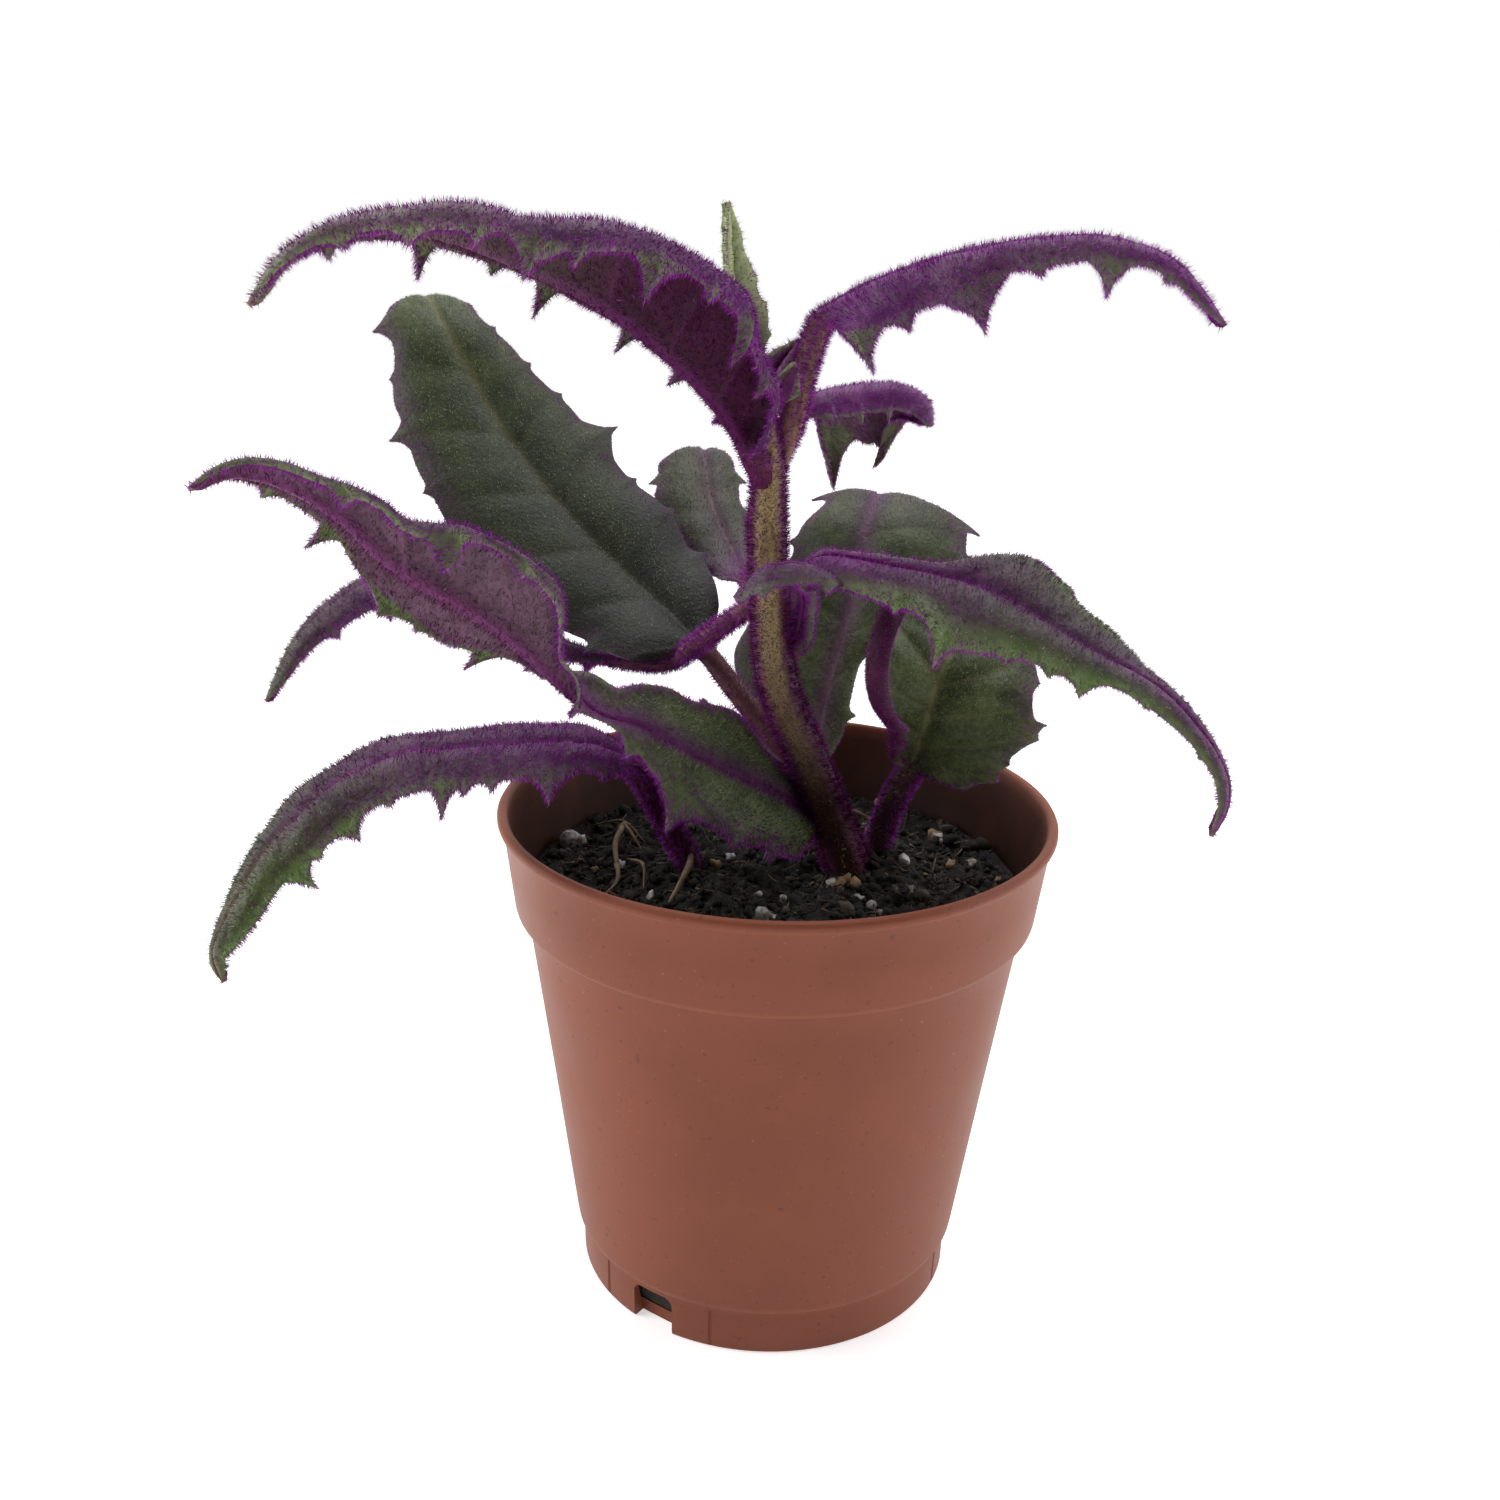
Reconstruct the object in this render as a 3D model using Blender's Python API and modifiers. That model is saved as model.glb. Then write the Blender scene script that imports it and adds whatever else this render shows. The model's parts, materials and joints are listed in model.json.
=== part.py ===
"""A young purple passion plant in a small nursery pot.

The pot is a thin turned shell with a collar and drainage notches, filled with soil. One main stem
and two single leaf stalks stand in plain holes in the soil. Every leaf is one closed solid: a round
stalk that flattens into a toothed blade with a midrib below and margins that roll under.
Sizes are in millimetres and are turned into metres as each mesh is made.
Z is up, the origin is the centre of the pot's underside, and the pot's front faces -Y.
"""

import math

import bmesh
import bpy
import numpy as np
from mathutils import Matrix, Vector

MM = 0.001

# Pot: the common 6 cm nursery size
RIM_RADIUS = 30.0
POT_HEIGHT = 55.0
WALL = 1.0
COLLAR_TOP_RADIUS = 29.4
COLLAR_FOOT_RADIUS = 28.3
COLLAR_FOOT_HEIGHT = 44.2
BODY_TOP_RADIUS = 27.0
BODY_FOOT_RADIUS = 21.8
FOOT_BAND_HEIGHT = 5.5
FOOT_RADIUS = 21.1
FLOOR = 1.4
POT_STEPS = 48
NOTCH_COUNT = 3
NOTCH_FIRST_ANGLE = -124.0
NOTCH_WIDTH = 5.2
NOTCH_HEIGHT = 4.6
FLUTE_OFFSET_ANGLE = 19.5
FLUTE_RADIUS = 0.35

# Soil
GAP = 0.3
SOIL_EDGE_HEIGHT = 46.2
SOIL_RISE = 1.2

# Blades
BLADE = 0.7
RIB_DEPTH = 0.7
RIB_SPREAD = 1.0

# Main stem: centre line and radius at each point, from inside the soil up to the bud
STEM = [(9.2, 3.0, 43.6), (8.0, 2.5, 47.0), (5.4, 1.4, 53.5), (3.0, 0.5, 60.0), (-0.5, 0.0, 69.0),
        (-1.5, 0.0, 77.5),
        (-2.1, 0.0, 86.0), (-2.1, 0.0, 91.0), (-2.4, 0.2, 96.0), (-2.9, 0.4, 99.5)]
STEM_RADII = [2.5, 2.5, 2.3, 2.15, 2.05, 1.95, 1.9, 1.8, 1.4, 0.8]

# Each leaf:
#   route       points of the midrib from the foot of the stalk to the tip
#   blade       where the blade begins, as a share of the route
#   stalk       stalk radius at its foot and where the blade begins
#   face        direction of the upper side at even steps along the blade
#   left, right half widths without the teeth, at even steps along the blade
#   fold, roll  degrees that each half tilts up at the rib, and then rolls under out to its margin
#   hook        how late across the half the roll comes
#   teeth       place along the blade and size of each tooth
LEAVES = {
    "leaf_top_left": dict(
        route=[(-3.7, -1.9, 93.5), (-8, -8, 101), (-12, -13, 105.5), (-17, -19, 110), (-23.5, -24, 113.5),
               (-29.5, -29, 115.5), (-34.5, -34, 115), (-38, -38, 113), (-40.5, -40, 109)],
        blade=0.05, stalk=(1.2, 1.1),
        face=[(0.3, 0.85, 0.6), (0.3, 0.9, 0.5), (0.2, 0.85, 0.5), (0.1, 0.5, 0.9), (-0.3, 0.1, 0.95),
              (-0.6, 0, 0.7)],
        left=[2, 8.5, 12.5, 10.5, 6.5, 4, 1.5], right=[1, 1, 1.5, 2.5, 4, 2.5, 1],
        fold_left=[20, 20, 15, 5, 0], fold_right=[20, 10, 0, -10, 0], hook=3.0,
        roll_left=[150, 185, 170, 110, 70], roll_right=[60, 80, 90, 80],
        teeth_left=[(0.05, 2.5), (0.16, 3.5), (0.32, 3.5), (0.42, 3.5), (0.52, 2.5), (0.68, 2), (0.85, 1)],
        teeth_right=[(0.1, 1.5), (0.2, 1.5), (0.34, 2.5), (0.5, 3), (0.62, 1.5), (0.85, 1)]),
    "leaf_top_right": dict(
        route=[(0.2, 0.5, 94.2), (1.3, 0.5, 98), (2, 0, 103), (4.5, -2, 107), (10, -4, 111), (15, -6, 113),
               (22, -9, 114),
               (28, -11, 114), (33.5, -13, 111.5), (38, -15, 106.5)],
        blade=0.2, stalk=(1.0, 0.9),
        face=[(-0.5, -0.1, 0.8), (-0.3, -0.1, 1), (0, -0.1, 1), (0.3, -0.1, 0.9)],
        left=[1.5, 4, 5, 5, 4, 3, 1.5], right=[2.5, 6, 4.5, 4, 3, 2.5, 1],
        fold=[10, 10], roll=[90, 100, 110, 80], hook=1.2,
        teeth_left=[(0.1, 2), (0.25, 3), (0.4, 3), (0.55, 2), (0.7, 2), (0.85, 1)],
        teeth_right=[(0.02, 3), (0.15, 6.5), (0.25, 4), (0.41, 5.5), (0.53, 1.5), (0.66, 3.5), (0.72, 1.5),
                     (0.85, 1)]),
    "leaf_top_young": dict(
        route=[(-2.9, 0.4, 99.9), (-3.2, 0.3, 103), (-5, 0, 106.5), (-6, -1, 111.5), (-6.5, -2, 116)],
        blade=0.12, stalk=(0.8, 0.8),
        face=[(0.6, -0.6, 0.1), (0.6, -0.6, 0.1)],
        left=[1, 2.2, 1.9, 1, 0.6], right=[1, 2.2, 1.9, 1, 0.6],
        fold=[30, 25], roll=[20, 20], hook=1.6,
        teeth_left=[(0.22, 0.8), (0.5, 0.6)], teeth_right=[(0.22, 0.8), (0.5, 0.6)]),
    "leaf_back_small": dict(
        route=[(-1.3, 2.0, 91.2), (0, 6, 93), (2, 9, 96.5), (6, 11, 98), (11.5, 12, 98), (14.5, 12, 96)],
        blade=0.3, stalk=(0.8, 0.8),
        face=[(-0.3, 0.4, 0.9), (0.1, 0.3, 1), (0.4, 0.2, 0.8)],
        left=[3, 7, 7, 7, 3], right=[3, 6, 6, 6, 3],
        fold=[0, 0], roll=[80, 75, 60], hook=1.0,
        teeth_left=[(0.18, 4), (0.42, 1.5), (0.6, 1.5), (0.82, 3.5)],
        teeth_right=[(0.18, 1.5), (0.4, 1.5), (0.6, 1.5), (0.82, 2)]),
    "leaf_left_broad": dict(
        route=[(2.1, 4.0, 58.6), (-4, 6.3, 64.5), (-10.5, 10, 70), (-16, 14, 76.5), (-22.5, 18, 83.5),
               (-28.5, 22, 89),
               (-34.5, 26, 95.5), (-41, 30, 101), (-45, 34, 103.5), (-47.5, 39, 102.5)],
        blade=0.24, stalk=(1.2, 1.0),
        face=[(0.45, -0.75, 0.5), (0.4, -0.8, 0.5), (0.35, -0.8, 0.5), (0.1, -0.75, 0.7), (0, 0, 1)],
        left=[7, 13, 13, 11, 9, 5.5, 2.5], right=[3, 9, 9.5, 7.5, 6, 4.5, 2.5],
        fold=[12, 8, 0], roll=[25, 30, 40], hook=1.6,
        teeth_left=[(0.15, 2), (0.42, 2), (0.64, 3.5), (0.86, 1.5)],
        teeth_right=[(0.13, 2.5), (0.4, 4), (0.62, 0.8), (0.8, 0.8)]),
    "leaf_front_left": dict(
        route=[(3.5, -1.2, 51.8), (0.0, -3.2, 56.4), (-8.5, -8, 63), (-14, -12, 67.5), (-17.5, -15, 69.5),
               (-20.5, -18, 73.5),
               (-26, -22, 80), (-32, -26, 85), (-36.5, -32, 91.5), (-41, -38, 96), (-45.5, -42, 95.5)],
        blade=0.02, stalk=(1.0, 1.0),
        face=[(0.3, -0.6, 0.7), (0.3, -0.6, 0.7), (0.3, -0.4, 0.9), (0.3, 0.9, 0.3), (0.1, 1, 0),
              (0.1, 1, 0.1),
              (-0.1, 0.5, 0.9)],
        left=[2, 7, 10, 6, 10, 9.5, 5, 3, 1.5], right=[1, 4.5, 6, 3.5, 3.5, 4.5, 2.5, 2, 1],
        fold=[10, 20, 10, 10], roll_left=[50, 60, 100, 165, 150, 80], roll_right=[40, 40, 60, 60], hook=3.0,
        teeth_left=[(0.08, 1.5), (0.22, 3), (0.33, 2), (0.42, 4.5), (0.55, 1.5), (0.66, 3.5), (0.8, 2.5)],
        teeth_right=[(0.1, 1.5), (0.25, 1.5), (0.36, 1.5), (0.53, 3), (0.66, 1), (0.78, 3.5), (0.9, 1)]),
    "leaf_left_hidden": dict(
        route=[(-3.0, 2.3, 76.6), (-8.5, 6, 71.5), (-13, 8, 68), (-25, 10, 69.5), (-34.5, 10, 75),
               (-42, 8, 77),
               (-47.5, 4, 75), (-51, 0, 71.5), (-53.5, -4, 66)],
        blade=0.3, stalk=(0.9, 0.9),
        face=[(0.2, 0.2, 0.9), (0, 0, 1), (-0.6, 0, 0.8)],
        left=[1.5, 5, 5, 4, 1.5], right=[1.5, 5, 5, 4, 1.5],
        fold=[10, 10], roll=[100, 110, 100], hook=1.6,
        teeth_left=[(0.2, 2), (0.35, 2), (0.5, 2), (0.65, 2), (0.8, 1)],
        teeth_right=[(0.1, 2), (0.3, 2), (0.5, 2), (0.7, 2), (0.85, 1)]),
    "leaf_back_left": dict(
        route=[(-2.2, 2.3, 73.4), (-3.6, 12.5, 75.2), (-6, 21, 77.5), (-9, 28.5, 82), (-10, 33.5, 85),
               (-10.5, 38, 86.5),
               (-10.5, 42, 85.5)],
        blade=0.3, stalk=(0.9, 0.9),
        face=[(0.2, -0.8, 0.5), (0.2, -0.8, 0.6), (0, -0.3, 0.9)],
        left=[2, 5, 7, 6, 3], right=[2, 4, 4, 4, 2],
        fold=[10, 10], roll=[50, 60, 60], hook=1.6,
        teeth_left=[(0.2, 2), (0.45, 2), (0.7, 1.5)], teeth_right=[(0.15, 2), (0.45, 2), (0.7, 1.5)]),
    "leaf_back_right": dict(
        route=[(5.7, 5, 51), (4.5, 12, 56.5), (5.5, 18, 63.5), (8, 24, 71.5), (9.5, 30, 79.5), (11, 36, 82),
               (12, 42, 80.5)],
        blade=0.12, stalk=(1.0, 1.0),
        face=[(-0.2, -0.85, 0.45), (-0.2, -0.85, 0.45), (-0.1, -0.8, 0.5), (0, -0.3, 0.9)],
        left=[2, 9, 12.5, 11, 8, 6, 3], right=[1, 3, 3, 8, 13, 12, 5],
        fold=[10, 5], roll=[30, 40, 40], hook=1.6,
        teeth_left=[(0.2, 2), (0.45, 2), (0.7, 2)], teeth_right=[(0.2, 1), (0.45, 2), (0.68, 2.5)]),
    "leaf_right_long": dict(
        route=[(2.1, 1.3, 70.9), (3.4, 0.2, 75), (5.5, -3, 80.5), (10.5, -6, 83), (16.5, -10, 82.5),
               (23, -15, 81.5),
               (28, -20, 80), (33.5, -25, 77), (37.5, -28, 72), (38.5, -31, 65.5)],
        blade=0.1, stalk=(1.0, 1.0),
        face=[(-0.3, -0.2, 0.9), (-0.1, -0.5, 1), (0.2, -0.5, 0.9), (0.5, -0.4, 0.8), (0.8, -0.2, 0.5)],
        left=[2, 3, 4.5, 7, 3.5, 2, 1], right=[4, 5.5, 7.5, 7.5, 5, 3.5, 3, 2.5, 1],
        fold=[20, 15, 5], roll=[60, 60, 70, 70], hook=1.6,
        teeth_left=[(0.1, 2), (0.25, 2), (0.4, 2), (0.55, 2), (0.7, 2), (0.85, 1)],
        teeth_right=[(0.02, 2), (0.12, 1.5), (0.26, 4), (0.42, 1.5), (0.5, 2), (0.8, 1)]),
    "leaf_right_front": dict(
        route=[(11, 7.2, 44), (11.3, 6.7, 47), (12.6, 4.4, 53.5), (14.5, 1, 60), (15.5, -1, 65.5),
               (16, -2, 69.5),
               (17.5, 0, 72.5), (18.5, 4, 74)],
        blade=0.46, stalk=(1.3, 1.1),
        face=[(-0.1, -0.8, 0.6), (0, -0.8, 0.7), (0, -0.4, 0.9)],
        left=[4, 7, 9, 8.5, 3.5], right=[4, 11, 11.5, 8, 3.5],
        fold=[20, 10], roll_left=[90, 80, 60], roll_right=[30, 30, 30], hook=1.6,
        teeth_left=[(0.2, 1), (0.45, 1), (0.7, 1)], teeth_right=[(0.08, 2), (0.32, 2), (0.6, 2), (0.75, 1)]),
    "leaf_low_left": dict(
        route=[(-8.2, 0.4, 43.8), (-9, 0, 46.5), (-12.5, -2, 55.5), (-15.5, -6, 62), (-19, -9, 65),
               (-24, -13, 66.5),
               (-30, -19, 67.5), (-34.5, -23, 67.5), (-39, -28, 66.5), (-45, -35, 61.5), (-48, -39, 54.5),
               (-47, -40, 52.5)],
        blade=0.25, stalk=(1.3, 1.0),
        face=[(0.1, -0.3, 1), (0, -0.4, 1), (-0.4, -0.4, 0.9), (-0.7, -0.4, 0.6)],
        left=[4, 5, 5, 5, 5.5, 4.5, 2.5, 1.2], right=[4, 5.5, 5.5, 5, 5, 5, 3, 1.2],
        fold=[12, 8, 5], roll=[80, 90, 90, 80], hook=1.6,
        teeth_left=[(0.12, 3.5), (0.24, 1.5), (0.29, 1.5), (0.36, 4), (0.47, 1), (0.55, 2), (0.62, 1),
                    (0.68, 2.5)],
        teeth_right=[(0.15, 2), (0.3, 2), (0.45, 2), (0.6, 2), (0.75, 1.5)]),
}

# The lobe at the foot of the long right leaf, which curls across the front of the stem
LOBE = dict(
    route=[(7, -4.2, 81), (4.5, -5.5, 82), (1.5, -6.3, 82.8), (-2, -6.5, 82.3), (-5, -6, 79.2)],
    blade=0.02, stalk=(0.7, 0.7),
    face=[(0, 0.1, 1), (-0.2, 0, 1), (-0.6, 0, 0.8)],
    left=[1.2, 2.5, 3, 1.5], right=[1, 1.6, 1.6, 1], fold=[5, 5], roll=[80, 80], hook=1.6,
    teeth_left=[(0.3, 1), (0.6, 1)], teeth_right=[(0.5, 0.8)])

# Tiny leaves of the bud, fused to the top of the stem
BUD_LEAVES = [
    dict(route=[(-2.2, -0.6, 97), (-0.6, -2.4, 99.5), (0.2, -3.4, 102)], blade=0.1, stalk=(0.6, 0.6),
         face=[(-0.3, 0.8, 0.4), (-0.3, 0.8, 0.4)], left=[0.8, 1.6, 0.4], right=[0.8, 1.6, 0.4],
         fold=[20, 20], roll=[30, 30], hook=1.6, teeth_left=[(0.4, 0.6)], teeth_right=[(0.6, 0.6)]),
    dict(route=[(-2.6, 1.0, 97.5), (-1.6, 2.8, 100.5), (0.6, 3.6, 103.5)], blade=0.1, stalk=(0.6, 0.6),
         face=[(-0.2, -0.8, 0.4), (-0.2, -0.8, 0.4)], left=[0.8, 1.6, 0.4], right=[0.8, 1.6, 0.4],
         fold=[20, 20], roll=[30, 30], hook=1.6, teeth_left=[(0.4, 0.6)], teeth_right=[(0.6, 0.6)]),
]

COLOURS = {
    "pot": (0.42, 0.155, 0.105), "soil": (0.018, 0.014, 0.012), "main_stem": (0.13, 0.055, 0.05),
    "leaf": (0.05, 0.07, 0.035),
}
ROUGHNESS = {"pot": 0.5, "soil": 0.95, "main_stem": 0.8, "leaf": 0.8}


def keyed(values, t):
    """Values or directions at even steps, eased between one step and the next."""
    table = np.array(values, float)
    place = t * (len(table) - 1)
    low = np.clip(np.floor(place).astype(int), 0, len(table) - 2)
    share = place - low
    share = share * share * (3 - 2 * share)
    if table.ndim == 2:
        share = share[:, None]
    return table[low] * (1 - share) + table[low + 1] * share


def smooth_route(points, count):
    """An even walk of count points along a centripetal Catmull-Rom curve, with its length."""
    way = np.array(points, float)
    way = np.vstack([2 * way[0] - way[1], way, 2 * way[-1] - way[-2]])
    walk = []
    for start in range(len(way) - 3):
        a, b, c, d = way[start:start + 4]
        k0 = 0.0
        k1 = k0 + np.linalg.norm(b - a) ** 0.5
        k2 = k1 + np.linalg.norm(c - b) ** 0.5
        k3 = k2 + np.linalg.norm(d - c) ** 0.5
        for k in np.linspace(k1, k2, 24, endpoint=start == len(way) - 4):
            ab = ((k1 - k) * a + (k - k0) * b) / (k1 - k0)
            bc = ((k2 - k) * b + (k - k1) * c) / (k2 - k1)
            cd = ((k3 - k) * c + (k - k2) * d) / (k3 - k2)
            abc = ((k2 - k) * ab + (k - k0) * bc) / (k2 - k0)
            bcd = ((k3 - k) * bc + (k - k1) * cd) / (k3 - k1)
            walk.append(((k2 - k) * abc + (k - k1) * bcd) / (k2 - k1))
    walk = np.array(walk)
    steps = np.linalg.norm(np.diff(walk, axis=0), axis=1)
    passed = np.concatenate([[0.0], np.cumsum(steps)])
    even = np.linspace(0, passed[-1], count)
    return np.stack([np.interp(even, passed, walk[:, axis]) for axis in range(3)], -1), passed[-1]


def unit(vectors):
    return vectors / np.linalg.norm(vectors, axis=-1, keepdims=True)


def stations(leaf, blade_length):
    """Places along the blade: a few even steps, and the root and point of every tooth."""
    places = [0.04, 0.95]
    for tooth in leaf["teeth_left"] + leaf["teeth_right"]:
        half = (0.9 + 0.9 * tooth[1]) / blade_length
        places += [tooth[0] - half, tooth[0], tooth[0] + half]
    places += list(np.linspace(0, 1, 9))
    points = [tooth[0] for tooth in leaf["teeth_left"] + leaf["teeth_right"] if tooth[1] > 1.2]
    kept = []
    for place in sorted(points + [0.0, 1.0]):
        if not kept or place - kept[-1] > 0.012:
            kept.append(place)
    for place in sorted(places):
        if 0 < place < 1 and min(abs(place - other) for other in kept) > 0.021:
            kept.append(place)
    return np.array(sorted(kept))


def half_width(leaf, side, t, blade_length):
    """Half width of the blade with its teeth: smooth sinuses between pointed teeth."""
    width = keyed(leaf[side], t) * np.minimum(1, (1 - t) / 0.06) ** 0.6
    tooth = np.zeros(len(t))
    for place, size in leaf["teeth_" + side]:
        half = 0.9 + 0.9 * size
        tooth = np.maximum(tooth, size * np.clip(1 - np.abs(t - place) * blade_length / half, 0, 1) ** 1.6)
    return np.maximum(width + tooth, 0.3)


def leaf_sections(leaf, across):
    """Closed sections of the leaf from its foot to its tip, each a loop over its top and back under it."""
    walk, length = smooth_route(leaf["route"], 400)
    blade_from = leaf["blade"]
    blade_length = length * (1 - blade_from)
    t_blade = stations(leaf, blade_length)
    stalk_steps = max(2, round(blade_from * length / 4.0))
    along = np.concatenate([np.linspace(0, blade_from, stalk_steps, endpoint=False),
                            blade_from + (1 - blade_from) * t_blade])
    t = np.clip((along - blade_from) / (1 - blade_from), 0, 1)
    at = along * (len(walk) - 1)
    index = np.arange(len(walk))
    centre = np.stack([np.interp(at, index, walk[:, axis]) for axis in range(3)], -1)
    slope = unit(np.gradient(walk, axis=0))
    ahead = unit(np.stack([np.interp(at, index, slope[:, axis]) for axis in range(3)], -1))
    face = keyed(leaf["face"], t)
    up = unit(face - (face * ahead).sum(1, keepdims=True) * ahead)
    out = np.cross(ahead, up)
    tops, unders = {}, {}
    fine = 20
    for sign, side in ((-1, "left"), (1, "right")):
        width = half_width(leaf, side, t, blade_length)
        fold = np.radians(keyed(leaf.get("fold_" + side, leaf.get("fold")), t))
        roll = np.radians(keyed(leaf.get("roll_" + side, leaf.get("roll")), t))
        place = centre.copy()
        marks = [place.copy()]
        turns = [fold.copy()]
        for step in range(fine):
            turn = fold - roll * ((step + 0.5) / fine) ** leaf["hook"]
            onward = sign * out * np.cos(turn)[:, None] + up * np.sin(turn)[:, None]
            place = place + onward * (width / fine)[:, None]
            marks.append(place.copy())
            turns.append(fold - roll * ((step + 1.0) / fine) ** leaf["hook"])
        for share in across:
            mark = share * fine
            low = min(int(mark), fine - 1)
            rest = mark - low
            spot = marks[low] * (1 - rest) + marks[low + 1] * rest
            turn = turns[low] * (1 - rest) + turns[low + 1] * rest
            normal = -sign * out * np.sin(turn)[:, None] + up * np.cos(turn)[:, None]
            if share == 0:
                normal = up
            away = np.linalg.norm(spot - centre, axis=1)
            rib = RIB_DEPTH * (1 - 0.75 * t) * np.exp(-(away / RIB_SPREAD) ** 2)
            tops[sign * share] = spot + normal * BLADE / 2
            unders[sign * share] = spot - normal * (BLADE / 2 + rib)[:, None]
    shares = sorted(tops)
    flat = np.stack([tops[share] for share in shares] + [unders[share] for share in reversed(shares)], 1)
    radius = np.interp(along, [0, max(blade_from, 1e-6), 1], [leaf["stalk"][0], leaf["stalk"][1], 0.4])
    edge = math.pi / 2 * (1 - 1 / (len(shares) + 1))
    turns = [share * edge for share in shares] + [math.pi - share * edge for share in reversed(shares)]
    ring = np.stack([centre + radius[:, None] * (math.sin(turn) * out + math.cos(turn) * up)
                     for turn in turns], 1)
    blend = np.minimum(np.clip((along - blade_from) / 0.05, 0, 1), np.clip((1 - t) / 0.03, 0, 1))
    blend = (blend * blend * (3 - 2 * blend))[:, None, None]
    return ring * (1 - blend) + flat * blend


def loft(sections):
    """A closed body through the sections: a grid wrapped into a tube, split alike above
    and below, with its ends filled."""
    count, around = sections.shape[:2]
    half = around // 2
    form = bmesh.new()
    bmesh.ops.create_grid(form, x_segments=count - 1, y_segments=around, size=1.0)
    where = {}
    for vert in form.verts:
        i = round((vert.co.x + 1) / 2 * (count - 1))
        j = round((vert.co.y + 1) / 2 * around)
        where[vert] = (i, j)
    for vert, (i, j) in where.items():
        vert.co = Vector(sections[i, j % around]) * MM
    for quad in list(form.faces):
        corners = {where[vert]: vert for vert in quad.verts}
        i = min(key[0] for key in corners)
        j = min(key[1] for key in corners)
        if j < half:
            bmesh.utils.face_split(quad, corners[(i, j)], corners[(i + 1, j + 1)])
        else:
            bmesh.utils.face_split(quad, corners[(i, j + 1)], corners[(i + 1, j)])
    bmesh.ops.remove_doubles(form, verts=form.verts, dist=1e-7)
    rims = [edge for edge in form.edges if edge.is_boundary]
    bmesh.ops.holes_fill(form, edges=rims, sides=0)
    bmesh.ops.triangulate(form, faces=[face for face in form.faces if len(face.verts) > 3])
    bmesh.ops.recalc_face_normals(form, faces=form.faces)
    return form


def material(name, colour, roughness):
    made = bpy.data.materials.new(name)
    made.use_nodes = True
    shader = made.node_tree.nodes["Principled BSDF"]
    shader.inputs["Base Color"].default_value = (*colour, 1.0)
    shader.inputs["Roughness"].default_value = roughness
    shader.inputs["Metallic"].default_value = 0.0
    made.diffuse_color = (*colour, 1.0)
    return made


def finish(form, name, where, kind):
    """A mesh object of this form in this collection, in the material of its kind."""
    mesh = bpy.data.meshes.new(name)
    form.to_mesh(mesh)
    form.free()
    made = bpy.data.objects.new(name, mesh)
    where.objects.link(made)
    if kind:
        mesh.materials.append(material(name + "_surface", COLOURS[kind], ROUGHNESS[kind]))
    mesh.shade_smooth()
    mesh.set_sharp_from_angle(angle=math.radians(50))
    return made


def tube(points, radii, steps, name, where, kind, smooth=True):
    """A round tube along the points, made as a curve with filled ends and then turned into a closed mesh."""
    curve = bpy.data.curves.new(name + "_line", "CURVE")
    curve.dimensions = "3D"
    curve.bevel_depth = MM
    curve.bevel_resolution = 3
    curve.use_fill_caps = True
    line = curve.splines.new("POLY")
    way = smooth_route(points, steps)[0] if smooth else np.array(points, float)
    shares = np.linspace(0, len(radii) - 1, len(way))
    line.points.add(len(way) - 1)
    for spot, place, share in zip(line.points, way, shares):
        spot.co = (*(Vector(place) * MM), 1.0)
        spot.radius = float(np.interp(share, range(len(radii)), radii))
    holder = bpy.data.objects.new(name + "_curve", curve)
    where.objects.link(holder)
    bpy.context.view_layer.update()
    mesh = bpy.data.meshes.new_from_object(holder.evaluated_get(bpy.context.evaluated_depsgraph_get()))
    bpy.data.objects.remove(holder)
    form = bmesh.new()
    form.from_mesh(mesh)
    bpy.data.meshes.remove(mesh)
    bmesh.ops.remove_doubles(form, verts=form.verts, dist=1e-6)
    bmesh.ops.recalc_face_normals(form, faces=form.faces)
    return finish(form, name, where, kind)


def turned(profile, name, where, kind):
    """A turned body from a profile that runs from the axis, over the outside and back to the axis."""
    form = bmesh.new()
    spots = [form.verts.new((radius * MM, 0, height * MM)) for radius, height in profile]
    for first, second in zip(spots, spots[1:]):
        form.edges.new((first, second))
    made = finish(form, name, where, kind)
    screw = made.modifiers.new("turn", "SCREW")
    screw.steps = screw.render_steps = POT_STEPS
    screw.use_merge_vertices = True
    screw.merge_threshold = 1e-6
    return apply_modifiers(made)


def apply_modifiers(made):
    """Replaces the object's mesh by what its modifiers make of it."""
    bpy.context.view_layer.update()
    mesh = bpy.data.meshes.new_from_object(made.evaluated_get(bpy.context.evaluated_depsgraph_get()))
    made.modifiers.clear()
    old = made.data
    made.data = mesh
    mesh.name = made.name
    bpy.data.meshes.remove(old)
    mesh.shade_smooth()
    mesh.set_sharp_from_angle(angle=math.radians(40))
    return made


def boolean(made, operation, collection):
    """Cuts with, or joins to, every object of a collection, and removes them."""
    step = made.modifiers.new(operation.lower(), "BOOLEAN")
    step.operation = operation
    step.operand_type = "COLLECTION"
    step.collection = collection
    step.solver = "EXACT"
    apply_modifiers(made)
    for other in list(collection.objects):
        bpy.data.objects.remove(other)
    return made


def wall_radius(height):
    """Inner radius of the pot's wall at this height."""
    heights = [FLOOR, FOOT_BAND_HEIGHT, COLLAR_FOOT_HEIGHT - 1.2, COLLAR_FOOT_HEIGHT, POT_HEIGHT - 1.2]
    radii = [FOOT_RADIUS - WALL, BODY_FOOT_RADIUS - WALL, BODY_TOP_RADIUS - WALL - 0.1,
             COLLAR_FOOT_RADIUS - WALL,
             COLLAR_TOP_RADIUS - WALL + 0.2]
    return float(np.interp(height, heights, radii))


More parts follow.
